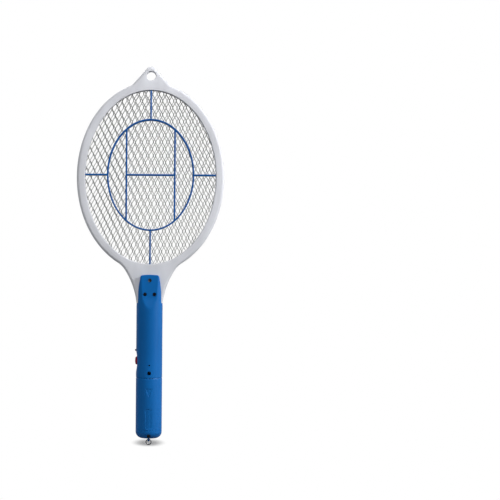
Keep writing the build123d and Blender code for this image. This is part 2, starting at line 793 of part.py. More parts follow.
# ---- plug base, pins and battery in the spigot ----
with BuildPart() as plug_base:
    with BuildSketch(Plane.XY.offset(spigot_z)):
        Circle(spigot_bore - plug_clearance)
    extrude(amount=plug_base_thickness)
    with BuildSketch(Plane.XY.offset(plug_top_z)):
        with GridLocations(0, battery_depth * 0.6, 1, 2):
            Rectangle(battery_width * 0.6, 2)
    extrude(amount=battery_rail)
    with BuildSketch(Plane.XY.offset(spigot_z)):
        with GridLocations(pin_spacing, 0, 2, 1):
            Circle(pin_radius)
    extrude(amount=plug_base_thickness, mode=Mode.SUBTRACT)
plug_base.part.label = "plug_base"
export_step(plug_base.part, "parts/plug_base.step")

with BuildPart() as plug_pins:
    with BuildSketch(Plane.XY.offset(plug_top_z)):
        with GridLocations(pin_spacing, 0, 2, 1):
            Circle(pin_radius)
    extrude(amount=-plug_base_thickness - pin_reach)
    chamfer(plug_pins.edges().group_by(Axis.Z)[0], pin_radius * 0.45)
plug_pins.part.label = "plug_pins"
export_step(plug_pins.part, "parts/plug_pins.step")

with BuildPart() as battery:
    with BuildSketch(Plane.XY.offset(battery_z)):
        RectangleRounded(battery_width, battery_depth, battery_edge_radius)
    extrude(amount=battery_length)
    with BuildSketch(Plane.XY.offset(battery_z + battery_length)):
        with GridLocations(battery_tab_spacing, 0, 2, 1):
            Rectangle(1.5 * strip_breadth, strip_thickness)
    extrude(amount=battery_tab)
battery.part.label = "battery"
export_step(battery.part, "parts/battery.step")


# ---- contact strips: nets to board, battery to board, pins to board ----
def seat_on_board(x, y, edge_z):
    """Foot of a contact strip, laid across the board's edge from the strip's own y."""
    far = board_back if y < board_back else board_front
    with BuildSketch(Plane.XY.offset(edge_z)) as foot:
        with Locations((x, (y + far) / 2)):
            Rectangle(strip_breadth, abs(far - y) + strip_thickness)
    return foot.sketch


outer_net_y = net_back + net_thickness / 2
tab_z = head_z - ring_outer[1] - net_tab_length
jog_high_z = shoulder_z + neck_screw_rise_top - screw_tower_radius - 1
jog_low_z = shoulder_z + neck_screw_rise_low + screw_tower_radius
with BuildPart() as net_strips:
    for y, tab_x, lane_x in (
        (-outer_net_y, -net_tab_spacing, -strip_lane),
        (outer_net_y, -net_tab_spacing, -strip_lane),
        (0, net_tab_spacing, strip_lane),
    ):
        with BuildSketch(Plane.XZ.offset(-y - strip_thickness / 2)):
            with BuildLine():
                spine = [(tab_x, tab_z), (tab_x, jog_high_z), (lane_x, jog_low_z), (lane_x, board_top_z)]
                Polyline(
                    *[(x - strip_breadth / 2, z) for x, z in spine],
                    *[(x + strip_breadth / 2, z) for x, z in reversed(spine)],
                    close=True,
                )
            make_face()
        extrude(amount=strip_thickness)
        extrude(seat_on_board(lane_x, y, board_top_z), amount=strip_thickness)
net_strips.part.label = "net_strips"
export_step(net_strips.part, "parts/net_strips.step")

battery_top_z = battery_z + battery_length + battery_tab
with BuildPart() as battery_strips:
    for x in (-battery_tab_spacing / 2, battery_tab_spacing / 2):
        with BuildSketch(Plane.XY.offset(battery_top_z)):
            with Locations((x, 0)):
                Rectangle(strip_breadth, strip_thickness)
        extrude(amount=board_z - battery_top_z)
        extrude(seat_on_board(x, 0, board_z), amount=-strip_thickness)
battery_strips.part.label = "battery_strips"
export_step(battery_strips.part, "parts/battery_strips.step")

with BuildPart() as plug_strips:
    for x in (-pin_spacing / 2, pin_spacing / 2):
        with BuildSketch(Plane.XY.offset(plug_top_z)):
            with Locations((x, 0)):
                Rectangle(strip_thickness, strip_breadth)
        extrude(amount=board_z - plug_top_z)
        extrude(seat_on_board(x, 0, board_z), amount=-strip_thickness)
plug_strips.part.label = "plug_strips"
export_step(plug_strips.part, "parts/plug_strips.step")

# ---- tail cover, which pulls off the spigot ----
cover_bore = spigot_radius + cover_clearance
with BuildPart() as tail_cover:
    with BuildSketch(Plane.XZ):
        with BuildLine():
            Polyline(
                (0, cover_end_z),
                (handle_radius, cover_end_z),
                (handle_radius, cover_top_z - seam_chamfer),
                (handle_radius - seam_chamfer, cover_top_z),
                (cover_bore, cover_top_z),
                (cover_bore, cover_end_z + cover_floor),
                (0, cover_end_z + cover_floor),
                close=True,
            )
        make_face()
    revolve(axis=Axis.Z)
    with BuildSketch(Plane.XY.offset(cover_end_z)):
        Rectangle(2 * tongue_half_width, 2 * tongue_half_depth)
    extrude(amount=-cap_height + cap_wall + cover_clearance)
    with BuildSketch(Plane.XZ.offset(tongue_half_depth)):
        with Locations((0, cap_screw_z)):
            Circle(shank_hole_radius)
    screw_tip = cap_screw_length + screw_hole_clearance - cap_screw_seat
    extrude(amount=-screw_tip - tongue_half_depth, mode=Mode.SUBTRACT)
    with BuildSketch(Plane.XZ.offset(handle_radius - groove_depth)):
        with Locations((0, cover_end_z)):
            Rectangle(groove_width, groove_length, align=(Align.CENTER, Align.MIN))
    extrude(amount=groove_depth * 4, mode=Mode.SUBTRACT)
tail_cover.part.label = "tail_cover"
export_step(tail_cover.part, "parts/tail_cover.step")

lug_z = cap_end_z - lug_drop + lug_radius
with BuildPart() as tail_cap:
    corner_x = handle_radius - cap_corner_radius
    corner_z = cap_end_z + cap_corner_radius
    corner = [
        (
            corner_x + cap_corner_radius * sin(radians(angle)),
            corner_z - cap_corner_radius * cos(radians(angle)),
        )
        for angle in (0, 45, 90)
    ]
    with BuildSketch(Plane.XZ):
        with BuildLine():
            Polyline(
                (0, cap_end_z),
                *corner,
                (handle_radius, cover_end_z),
                (handle_radius - cap_wall, cover_end_z),
                (handle_radius - cap_wall, corner_z),
                (handle_radius - 2 * cap_wall, cap_end_z + cap_wall),
                (0, cap_end_z + cap_wall),
                close=True,
            )
        make_face()
    revolve(axis=Axis.Z)
    with BuildSketch(Plane.XZ.offset(tongue_half_depth)):
        with Locations((0, cap_screw_z)):
            Circle(screw_tower_radius)
    extrude(until=Until.NEXT)
    with BuildSketch(Plane.XZ.offset(cap_screw_seat)):
        with Locations((0, cap_screw_z)):
            Circle(recess_radius)
    extrude(amount=cap_corner_radius, mode=Mode.SUBTRACT)
    with BuildSketch(Plane.XZ):
        with Locations((0, cap_screw_z)):
            Circle(shank_hole_radius)
    extrude(amount=cap_screw_seat, mode=Mode.SUBTRACT)
    with BuildSketch(Plane.YZ.offset(-lug_thickness / 2)):
        with Locations((0, lug_z)):
            Circle(lug_radius)
        with Locations((0, lug_z)):
            Rectangle(2 * lug_radius, cap_end_z + cap_wall / 2 - lug_z, align=(Align.CENTER, Align.MIN))
    extrude(amount=lug_thickness)
    with BuildSketch(Plane.YZ.offset(-lug_thickness)):
        with Locations((0, lug_z)):
            Circle(lug_hole_radius)
    extrude(amount=2 * lug_thickness, mode=Mode.SUBTRACT)
tail_cap.part.label = "tail_cap"
export_step(tail_cap.part, "parts/tail_cap.step")

with BuildPart() as cap_screw:
    with Locations(front_plane(0, cap_screw_z, cap_screw_seat)):
        add(screw(cap_screw_length))
cap_screw.part.label = "cap_screw"
export_step(cap_screw.part, "parts/cap_screw.step")

with BuildPart() as lanyard_ring:
    ring_z = lug_z - ring_hang - ring_radius
    with BuildSketch(Plane.XY.offset(ring_z)):
        with Locations((ring_radius, 0)):
            RegularPolygon(ring_wire_radius, 8)
    revolve(axis=Axis((0, 0, ring_z), (0, 1, 0)))
lanyard_ring.part.label = "lanyard_ring"
export_step(lanyard_ring.part, "parts/lanyard_ring.step")
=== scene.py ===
import math

import bmesh
import bpy
from bpy.props import FloatProperty, FloatVectorProperty, IntProperty, PointerProperty
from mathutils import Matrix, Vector


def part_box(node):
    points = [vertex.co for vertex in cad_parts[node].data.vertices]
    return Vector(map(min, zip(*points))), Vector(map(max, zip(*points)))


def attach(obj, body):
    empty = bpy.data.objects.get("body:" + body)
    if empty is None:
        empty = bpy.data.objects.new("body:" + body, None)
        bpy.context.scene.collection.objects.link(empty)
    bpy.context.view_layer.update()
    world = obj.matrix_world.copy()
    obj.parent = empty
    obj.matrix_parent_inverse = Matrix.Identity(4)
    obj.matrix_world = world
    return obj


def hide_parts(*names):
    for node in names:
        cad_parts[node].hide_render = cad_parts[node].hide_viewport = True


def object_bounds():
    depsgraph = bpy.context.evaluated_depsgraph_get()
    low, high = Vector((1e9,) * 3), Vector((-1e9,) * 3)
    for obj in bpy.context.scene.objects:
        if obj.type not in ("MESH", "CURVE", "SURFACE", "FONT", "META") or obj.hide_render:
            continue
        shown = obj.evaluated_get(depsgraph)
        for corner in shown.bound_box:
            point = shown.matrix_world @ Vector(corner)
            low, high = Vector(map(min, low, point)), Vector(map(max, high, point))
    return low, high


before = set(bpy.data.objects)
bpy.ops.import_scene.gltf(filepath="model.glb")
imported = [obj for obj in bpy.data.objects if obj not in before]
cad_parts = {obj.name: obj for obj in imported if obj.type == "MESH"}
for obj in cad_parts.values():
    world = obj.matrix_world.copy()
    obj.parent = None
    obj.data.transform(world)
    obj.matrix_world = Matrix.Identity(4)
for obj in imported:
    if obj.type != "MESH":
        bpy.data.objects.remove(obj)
CAD_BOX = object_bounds()

bl_info = {
    "name": "Electric Fly Swatter",
    "version": (1, 0, 0),
    "blender": (4, 5, 0),
    "location": "View3D > Sidebar > Fly Swatter",
    "description": "Finished pieces and materials for an electric fly swatter",
    "category": "Object",
}

MM = 0.001

# Levels: the origin is the hang hole's centre, +Z runs from the tail to the hang hole, and the front faces -Y
HEAD_Z = -0.1314  # middle of the oval head
NECK_TOP_Z = -0.2578  # upper end of the handle's neck
SHOULDER_Z = -0.2947  # where the neck widens to the round handle
SEAM_Z = -0.3914  # handle to tail cover
COVER_END_Z = SEAM_Z - 67.3 * MM
CAP_END_Z = COVER_END_Z - 11.4 * MM
POWER_LAMP_Z = SEAM_Z + 35.6 * MM
CHARGE_LAMP_Z = SEAM_Z + 16.4 * MM
BUTTON_Z = SEAM_Z + 22.0 * MM

# Screws as (x, z, seat) in millimetres; the seat is how far in front of the middle plane the head sits
NECK_SCREWS = ((0.0, -265.2, 11.3), (-6.2, -283.2, 10.2), (6.2, -283.2, 10.2))
BODY_SCREWS = ((0.0, -385.0, 9.0),)
CAP_SCREWS = ((0.0, -466.5, 11.2),)
SCREW_RECESS = 2.45 * MM  # radius of the recess round a screw's head
OUTSIDE = -22.0 * MM  # beyond every outer face, where the cutting tools start
PARTING_GAP = 0.004 * MM  # between the middle plane and each half of the handle

NET_THICKNESS = 0.42 * MM
STRAND_LEAN = 0.55  # how far a slanting strand's faces lean, as a slope
BOND_OFFSET = 0.46  # from a bond's middle to the middle of each of its strands, in strand widths

# Nets as (node, depth, contact tab's x, shift in cells, lift, skew, stretch), lengths in millimetres
NETS = (
    ("front_net", -3.65, -5.6, 0.23, 1.1, 0.0227, 0.9926),
    ("centre_net", 0.0, 0.0, -0.11, 1.8, -0.0130, 0.9852),
    ("rear_net", 3.65, 5.6, 0.23, 1.1, 0.0227, 0.9956),
)

# Lamps as (name, place, target, size, watts, shown in gloss)
LAMPS = (
    ("key", (1.30, -0.48, 0.40), (0.0, 0.0, -0.22), 0.8, 26.5, True),
    ("fill", (-0.95, -0.90, 0.10), (0.0, 0.0, -0.2), 0.9, 4.2, False),
    ("top", (0.15, -0.75, 0.85), (0.0, 0.0, -0.4), 0.6, 7.8, True),
    ("back", (-0.45, 1.05, 0.85), (0.0, 0.0, -0.2), 0.8, 15.0, True),
)
FLOOR_HALF = 6.0
FLOOR_GAP = 0.3 * MM  # the floor's distance below the ring
SENSOR_WIDTH = 36.0  # millimetres
CAMERA_DISTANCE = 2.4
CAMERA_Z = -0.2258
CAMERA_ROLL = -0.44  # degrees
VIEW_WIDTH = 0.65  # what the camera sees across at the object
VIEW_SHIFT = 0.2  # in view widths


def length(name, default, description):
    """Length property in metres."""
    shared = {"min": 0.0, "subtype": "DISTANCE", "unit": "LENGTH", "precision": 5}
    return FloatProperty(name=name, description=description, default=default, **shared)


def colour(name, default, description):
    """Colour property of a finish."""
    shared = {"min": 0.0, "max": 1.0, "size": 3, "subtype": "COLOR"}
    return FloatVectorProperty(name=name, description=description, default=default, **shared)


# ---------------------------------------------------------------- sizes and colours


class SwatterHeadSizes(bpy.types.PropertyGroup):
    """Sizes of the oval head, its nets and its ribs."""

    half_width: length("Head Half Width", 0.0957, "Middle of the oval to its side")
    half_height: length("Head Half Height", 0.1234, "Middle of the oval to its end")
    rim_width: length("Rim Width", 0.0107, "Outer edge of the frame to its opening")
    half_thickness: length("Half Thickness", 0.008, "Middle plane to the frame's face")
    lip_thickness: length("Lip Thickness", 0.004, "Thickness of the lip in front of the nets")
    rim_round: length("Rim Rounding", 0.0036, "Rounding of the frame's outer edge")
    hole_radius: length("Hang Hole Radius", 0.006, "Radius of the hang hole")
    cell_width: length("Net Cell Width", 0.0088, "Width of one diamond of the net")
    cell_height: length("Net Cell Height", 0.0178, "Height of one diamond of the net")
    strand_width: length("Strand Width", 0.00058, "Width of a strand of the net")
    bond_length: length("Bond Length", 0.0026, "Length over which two strands are joined")
    rib_width: length("Rib Width", 0.0022, "Width of a rib of the guard")
    rib_round: length("Rib Rounding", 0.0007, "Rounding of a rib's front edges")


class SwatterHandleSizes(bpy.types.PropertyGroup):
    """Sizes of the handle, its button and its tail."""

    radius: length("Handle Radius", 0.017, "Radius of the round handle")
    bore: length("Handle Bore", 0.0144, "Radius inside the handle")
    neck_half_width: length("Neck Half Width", 0.0123, "Half width of the neck's upper end")
    edge_softness: length("Edge Softness", 0.00022, "Softness of the moulded edges")
    seam_chamfer: length("Seam Chamfer", 0.0004, "Chamfer beside the seam")
    cap_corner: length("Cap Corner Radius", 0.0088, "Rounding of the end cap")
    segments: IntProperty(name="Handle Segments", description="Steps round the handle", default=360, min=48)


class SwatterFinishes(bpy.types.PropertyGroup):
    """Colours of the finishes."""

    grey: colour("Grey Plastic", (0.60, 0.61, 0.65), "Frame of the head")
    blue: colour("Blue Plastic", (0.001, 0.115, 0.385), "Handle and tail")
    rib_blue: colour("Rib Blue", (0.006, 0.085, 0.30), "Ribs of the guard")
    red: colour("Red Plastic", (0.26, 0.006, 0.030), "Push button")
    net_metal: colour("Net Metal", (0.60, 0.60, 0.58), "Nets")
    backdrop: colour("Backdrop", (1.0, 1.0, 1.0), "Floor and backdrop")


class SwatterSettings(bpy.types.PropertyGroup):
    """All settings of the fly swatter."""

    head: PointerProperty(type=SwatterHeadSizes, name="Head", description="Sizes of the head")
    handle: PointerProperty(type=SwatterHandleSizes, name="Handle", description="Sizes of the handle")
    finish: PointerProperty(type=SwatterFinishes, name="Finishes", description="Colours of the finishes")


# ---------------------------------------------------------------- shaders

PADS_PER_METRE = 393.7  # a tenth of an inch apart
LAYERS_PER_METRE = 900.0  # of insulating tape


class Number:
    """A number socket that Python's arithmetic extends with Math nodes."""

    def __init__(self, nodes, socket):
        self.nodes = nodes
        self.socket = socket

    def math(self, operation, *values):
        """Result of a Math node."""
        node = self.nodes.node("ShaderNodeMath", {"operation": operation}, dict(enumerate(values)))
        return Number(self.nodes, node.outputs[0])

    def __add__(self, other):
        return self.math("ADD", self, other)

    def __radd__(self, other):
        return self.math("ADD", other, self)

    def __sub__(self, other):
        return self.math("SUBTRACT", self, other)

    def __rsub__(self, other):
        return self.math("SUBTRACT", other, self)

    def __mul__(self, other):
        return self.math("MULTIPLY", self, other)

    def __rmul__(self, other):
        return self.math("MULTIPLY", other, self)

    def __abs__(self):
        return self.math("ABSOLUTE", self)

    def fract(self):
        """What is left after the whole number."""
        return self.math("FRACT", self)

    def either(self, other):
        """The larger of two masks."""
        return self.math("MAXIMUM", self, other)

    def smooth(self, low, high, bottom=0.0, top=1.0):
        """bottom below low, top above high, eased between them."""
        inputs = {"Value": self, 1: low, 2: high, 3: bottom, 4: top}
        node = self.nodes.node("ShaderNodeMapRange", {"interpolation_type": "SMOOTHSTEP"}, inputs)
        return Number(self.nodes, node.outputs["Result"])


class Nodes:
    """A node tree with short ways to add what the finishes and the studio need."""

    def __init__(self, tree):
        self.tree = tree

    def node(self, kind, options=None, inputs=None):
        """New node: its own settings come first, then the values or links of its sockets."""
        node = self.tree.nodes.new(kind)
        for key, value in (options or {}).items():
            setattr(node, key, value)
        for key, value in (inputs or {}).items():
            self.feed(node.inputs[key], value)
        return node

    def feed(self, socket, value):
        """Links a socket, or sets its value."""
        if isinstance(value, Number):
            value = value.socket
        if isinstance(value, bpy.types.NodeSocket):
            self.tree.links.new(value, socket)
        elif socket.type == "RGBA" and len(value) == 3:
            socket.default_value = (*value, 1.0)
        else:
            socket.default_value = value

    def axis(self, vector, letter):
        """One coordinate of a vector."""
        return Number(self, self.node("ShaderNodeSeparateXYZ", inputs={0: vector}).outputs[letter])

    def mix(self, factor, first, second):
        """Colour between first and second."""
        node = self.node("ShaderNodeMix", {"data_type": "RGBA"}, {0: factor, 6: first, 7: second})
        return node.outputs[2]

    def blend(self, factor, first, second):
        """Surface or background between first and second."""
        return self.node("ShaderNodeMixShader", inputs={0: factor, 1: first, 2: second}).outputs[0]

    def scaled(self, vector, factors):
        """Vector with each axis multiplied by its own factor."""
        node = self.node("ShaderNodeVectorMath", {"operation": "MULTIPLY"}, {0: vector, 1: factors})
        return node.outputs[0]

    def measure(self, operation, first, second):
        """Number that Vector Math gives for two vectors."""
        node = self.node("ShaderNodeVectorMath", {"operation": operation}, {0: first, 1: second})
        return Number(self, node.outputs["Value"])


class Shader(Nodes):
    """A material with a Principled surface and the nodes that feed it."""

    def __init__(self, name):
        self.material = bpy.data.materials.new(name)
        self.material.use_nodes = True
        super().__init__(self.material.node_tree)
        self.surface = self.tree.nodes["Principled BSDF"]
        self.output = self.tree.nodes["Material Output"]
        self.place = self.node("ShaderNodeTexCoord").outputs["Object"]

    def set(self, **values):
        """Sets or links sockets of the surface; an underscore stands for a space."""
        for key, value in values.items():
            self.feed(self.surface.inputs[key.replace("_", " ")], value)

    def noise(self, scale, detail=3.0, roughness=0.5, drawn=None):
        """Noise over the piece; drawn gives how much it is packed along each axis."""
        vector = self.scaled(self.place, drawn) if drawn else self.place
        inputs = {"Vector": vector, "Scale": scale, "Detail": detail, "Roughness": roughness}
        return Number(self, self.node("ShaderNodeTexNoise", inputs=inputs).outputs[0])

    def bump(self, height, strength, distance):
        """Fine relief of the surface."""
        inputs = {"Height": height, "Strength": strength, "Distance": distance}
        self.feed(self.surface.inputs["Normal"], self.node("ShaderNodeBump", inputs=inputs).outputs[0])


def shade(tint, factor):
    """The tint made darker or lighter."""
    return tuple(min(1.0, channel * factor) for channel in tint)


def moulded_plastic(name, tint, roughness, gloss, grain):
    """Injection-moulded plastic: faint flow marks, fine grain and handling haze."""
    s = Shader(name)
    flow = s.noise(45.0, 2.0, drawn=(1.0, 1.0, 0.25))
    haze = s.noise(160.0, 4.0, 0.6)
    grit = s.noise(2600.0, 2.0)
    mottled = s.mix(flow.smooth(0.30, 0.72), shade(tint, 0.93), shade(tint, 1.07))
    s.set(Base_Color=mottled, Roughness=roughness - 0.06 + haze * 0.12, Specular_IOR_Level=gloss, IOR=1.5)
    s.bump(grit * 0.7 + haze * 0.3, grain, 0.0004)
    return s.material


def expanded_metal(name, tint):
    """Slit and stretched aluminium with drawn streaks and dull patches, and painted shade on faces that point
    front or back, such as the flat bonds.
    """
    s = Shader(name)
    streaks = s.noise(420.0, 3.0, 0.6, drawn=(6.0, 6.0, 1.0))
    dull = s.noise(110.0)
    worn = s.mix(dull.smooth(0.35, 0.70), shade(tint, 0.86), shade(tint, 1.04))
    # Painted shade: faces that point straight front or back, the flat bonds and the net's rim among them, get
    # a base colour half as bright, standing in for the dark studio front that they reflect.
    facing = s.axis(s.node("ShaderNodeTexCoord").outputs["Normal"], "Y")
    flat = abs(facing).smooth(0.93, 0.99)
    s.set(Base_Color=s.mix(flat, worn, shade(tint, 0.50)), Metallic=1.0, Roughness=0.26 + streaks * 0.22)
    s.bump(streaks, 0.25, 0.0001)
    return s.material


def turned_metal(name, tint, roughness):
    """Plated metal with fine rub marks."""
    s = Shader(name)
    rub = s.noise(900.0, 3.0, 0.6, drawn=(1.0, 4.0, 1.0))
    cloud = s.noise(300.0, 2.0)
    plated = s.mix(cloud, shade(tint, 0.88), shade(tint, 1.04))
    s.set(Base_Color=plated, Metallic=1.0, Roughness=roughness + rub * 0.14)
    s.bump(rub, 0.12, 0.0001)
    return s.material


def tinted_lens(name, tint):
    """Clear tinted lens of a lamp with a brighter core."""
    s = Shader(name)
    core = s.noise(700.0, 2.0)
    s.set(Base_Color=s.mix(core, shade(tint, 0.7), shade(tint, 1.25)), Roughness=0.08 + core * 0.06)
    s.set(Coat_Weight=0.6, Coat_Roughness=0.05)
    s.bump(core, 0.05, 0.0001)
    return s.material


def grid_line(s, letter, per_metre):
    """Runs from 0 to 1 again and again along an axis; the whole number added keeps it above 0."""
    return (s.axis(s.place, letter) * per_metre + 1000.0).fract()


def laminate(name):
    """Brown circuit-board laminate with darker weave and copper pads on a grid."""
    s = Shader(name)
    weave = s.noise(600.0, 3.0, drawn=(1.0, 1.0, 3.0))
    board = s.mix(weave.smooth(0.3, 0.7), (0.24, 0.145, 0.05), (0.33, 0.21, 0.08))
    row = abs(grid_line(s, "Z", PADS_PER_METRE) - 0.5)
    column = abs(grid_line(s, "X", PADS_PER_METRE) - 0.5)
    pad = (row * row + column * column).smooth(0.030, 0.022)
    s.set(Base_Color=s.mix(pad, board, (0.62, 0.50, 0.38)), Roughness=0.55 - pad * 0.25)
    s.bump(weave + pad, 0.15, 0.0002)
    return s.material


def wrapped_tape(name, tint):
    """Layered insulating tape round a winding."""
    s = Shader(name)
    layers = grid_line(s, "Z", LAYERS_PER_METRE)
    creases = s.noise(380.0, 4.0, 0.6)
    s.set(Base_Color=s.mix(creases, shade(tint, 0.8), shade(tint, 1.1)), Roughness=0.42 + creases * 0.2)
    s.bump(layers * 0.4 + creases, 0.3, 0.0002)
    return s.material


def banded_body(name, tint, band, pitch):
    """Lacquered round parts with painted bands."""
    s = Shader(name)
    stripe = grid_line(s, "Z", pitch).smooth(0.80, 0.84)
    lacquer = s.noise(500.0, 2.0)
    body = s.mix(lacquer, shade(tint, 0.88), shade(tint, 1.08))
    s.set(Base_Color=s.mix(stripe, body, band), Roughness=0.34 + lacquer * 0.15)
    s.bump(lacquer, 0.06, 0.0001)
    return s.material


# ---------------------------------------------------------------- mesh tools


def full_turn(count):
    """Evenly spaced angles all the way round."""
    return [2 * math.pi * i / count for i in range(count)]


def quarter_turn(steps):
    """Angles from 0 to 90 degrees."""
    return [math.pi / 2 * i / steps for i in range(steps + 1)]


def ramp(distance, width):
    """Rises from 0 to 1 over a width and stays level before and after it."""
    return max(0.0, min(1.0, distance / width))


def rounded_edge(radius, level, steps=8):
    """(inset, level) points of a rounding that starts at a wall and ends at a face of that level."""
    return [(radius * (1 - math.cos(t)), level - radius * (1 - math.sin(t))) for t in quarter_turn(steps)]


def arc(centre, radius, start, end, steps):
    """Points along an arc between two angles."""
    angles = [start + (end - start) * i / steps for i in range(steps + 1)]
    return [(centre[0] + radius * math.cos(t), centre[1] + radius * math.sin(t)) for t in angles]


def arc_between(centre, radius, first, last, steps):
    """Arc from the direction of one point to that of another, without crossing the +X direction."""
    start, end = (math.atan2(z - centre[1], x - centre[0]) % (2 * math.pi) for x, z in (first, last))
    return arc(centre, radius, start, end, steps)


def flat_loop(points, y):
    """Outline in x and z as a loop at a depth."""
    return [Vector((x, y, z)) for x, z in points]


def offset_loop(points, amount):
    """Closed outline in x and z moved inwards by amount; it runs anticlockwise seen from the front."""
    count = len(points)
    moved = []
    for i, (x, z) in enumerate(points):
        ahead = points[(i + 1) % count]
        behind = points[i - 1]
        tangent = Vector((ahead[0] - behind[0], ahead[1] - behind[1])).normalized()
        moved.append((x - tangent.y * amount, z + tangent.x * amount))
    return moved


def ellipse_loop(half_width, half_height, centre_z, count):
    """Oval outline round a level on the middle line."""
    return [(half_width * math.cos(a), centre_z + half_height * math.sin(a)) for a in full_turn(count)]


def resample(points, count):
    """The same closed outline with evenly spaced points."""
    closed = points + points[:1]
    runs = [math.dist(a, b) for a, b in zip(closed, closed[1:])]
    step = sum(runs) / count
    result, run, walked = [], 0, 0.0
    for i in range(count):
        target = i * step
        while walked + runs[run] < target:
            walked += runs[run]
            run += 1
        share = (target - walked) / max(runs[run], 1e-12)
        a, b = closed[run], closed[run + 1]
        result.append((a[0] + (b[0] - a[0]) * share, a[1] + (b[1] - a[1]) * share))
    return result


def rounded_plan(half_width, half_height, corner, steps=8):
    """Rounded rectangle as (u, v) points."""
    points = []
    for turn, (su, sv) in enumerate(((1, 1), (-1, 1), (-1, -1), (1, -1))):
        for i in range(steps + 1):
            a = math.pi / 2 * (turn + i / steps)
            u = su * (half_width - corner) + corner * math.cos(a)
            v = sv * (half_height - corner) + corner * math.sin(a)
            points.append((u, v))
    return points


def skin(bm, loops, first_cap=False, last_cap=False):
    """Quads between closed loops of equal count, with n-gon caps where asked."""
    rows = [[bm.verts.new(point) for point in loop] for loop in loops]
    for lower, upper in zip(rows, rows[1:]):
        for i in range(len(lower)):
            j = (i + 1) % len(lower)
            bm.faces.new((lower[i], lower[j], upper[j], upper[i]))
    if first_cap:
        bm.faces.new(rows[0][::-1])
    if last_cap:
        bm.faces.new(rows[-1])
    return rows


def lathe(bm, profile, count, centre=(0.0, 0.0), axis="Z", closed=False):
    """Turns (radius, level) points round an axis. A radius of 0 closes the end."""
    order = {"X": (2, 0, 1), "Y": (0, 2, 1), "Z": (0, 1, 2)}[axis]
    loops = []
    for radius, level in profile:
        loop = []
        for a in full_turn(count):
            point = (centre[0] + radius * math.cos(a), centre[1] + radius * math.sin(a), level)
            loop.append(Vector([point[k] for k in order]))
        loops.append(loop)
    if closed:
        loops.append(loops[0])
    return skin(bm, loops, not closed and profile[0][0] > 0.0, not closed and profile[-1][0] > 0.0)


def block(bm, first, second):
    """Box between two opposite corners."""
    low, high = ([pick(pair) for pair in zip(first, second)] for pick in (min, max))
    corners = [(low[0], low[2]), (high[0], low[2]), (high[0], high[2]), (low[0], high[2])]
    skin(bm, [flat_loop(corners, low[1]), flat_loop(corners, high[1])], True, True)


def fill_between(bm, *rows):
    """Flat face inside the outermost row and outside the others."""
    edges = [bm.edges.get((row[i - 1], row[i])) for row in rows for i in range(len(row))]
    bmesh.ops.triangle_fill(bm, edges=edges, use_beauty=True)


def drill(tools, radius, bottom, centre, axis="Y", count=48):
    """Tool for a blind hole from the axis's negative side; bottom is its distance from the middle."""
    lathe(tools, [(radius, OUTSIDE), (radius, -bottom)], count, centre, axis)


def finish_mesh(name, bm, sharp=35.0):
    """New piece from a mesh, smooth except along edges sharper than some degrees."""
    bmesh.ops.remove_doubles(bm, verts=bm.verts, dist=1e-7)
    bmesh.ops.recalc_face_normals(bm, faces=bm.faces)
    mesh = bpy.data.meshes.new(name)
    bm.to_mesh(mesh)
    bm.free()
    mesh.polygons.foreach_set("use_smooth", [True] * len(mesh.polygons))
    mesh.set_sharp_from_angle(angle=math.radians(sharp))
    piece = bpy.data.objects.new(name, mesh)
    bpy.context.scene.collection.objects.link(piece)
    return piece


def cut(piece, tools, overlapping=False):
    """Cuts a closed tool mesh out of a piece."""
    cutter = finish_mesh(piece.name + "_cutter", tools)
    modifier = piece.modifiers.new("Cut", "BOOLEAN")
    modifier.operation = "DIFFERENCE"
    modifier.solver = "EXACT"
    modifier.use_self = overlapping
    modifier.object = cutter
    graph = bpy.context.evaluated_depsgraph_get()
    result = bpy.data.meshes.new_from_object(piece.evaluated_get(graph))
    piece.modifiers.clear()
    uncut = piece.data
    piece.data = result
    bpy.data.meshes.remove(uncut)
    bpy.data.objects.remove(cutter)


def half_of(piece, name, front):
    """Front or back half of a closed piece, cut just off y = 0 and closed again."""
    side = 1 if front else -1
    bm = bmesh.new()
    bm.from_mesh(piece.data)
    everything = bm.verts[:] + bm.edges[:] + bm.faces[:]
    plane = {"plane_co": (0.0, -side * PARTING_GAP, 0.0), "plane_no": (0.0, side, 0.0)}
    result = bmesh.ops.bisect_plane(bm, geom=everything, clear_outer=True, **plane)
    rim = [item for item in result["geom_cut"] if isinstance(item, bmesh.types.BMEdge)]
    bmesh.ops.triangle_fill(bm, edges=rim, use_beauty=True)
    return finish_mesh(name, bm)


def dress(piece, material, body, slot, *replaced):
    """Gives a piece its material and its body and hides the solids that it stands for; the slot is not used.
    """
    piece.data.materials.clear()
    piece.data.materials.append(material)
    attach(piece, body)
    if replaced:
        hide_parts(*replaced)


def recolour(node, material):
    """Gives a solid its finished material."""
    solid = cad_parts[node]
    solid.data.materials.clear()
    solid.data.materials.append(material)


def settings():
    """The sizes and colours that the panel shows."""
    return bpy.context.scene.fly_swatter


# ---------------------------------------------------------------- head


def opening(margin=0.0):
    """Half width and half height of the frame's oval opening, widened by a margin."""
    head = settings().head
    return head.half_width - head.rim_width + margin, head.half_height - head.rim_width + margin


def nearest_on_oval(a, b, x, z):
    """Parameter of the oval's point nearest to a point outside it, centre at the origin."""
    t = math.atan2(z / b, x / a)
    for _ in range(40):
        px, pz = a * math.cos(t), b * math.sin(t)
        dx, dz = -a * math.sin(t), b * math.cos(t)
        slope = (px - x) * dx + (pz - z) * dz
        bend = dx * dx + dz * dz - (px - x) * px - (pz - z) * pz
        t -= slope / bend
    return t


def blend_on_oval(a, b, path, radius, low, high):
    """Finds the blend circle that touches the oval: its centre lies on path(t), t from low to high."""

    def gap(t):
        x, z = path(t)
        s = nearest_on_oval(a, b, x, z)
        return math.dist((x, z), (a * math.cos(s), b * math.sin(s))) - radius

    for _ in range(60):
        middle = (low + high) / 2
        if (gap(middle) > 0) == (gap(low) > 0):
            low = middle
        else:
            high = middle
    centre = path((low + high) / 2)
    return centre, nearest_on_oval(a, b, *centre)


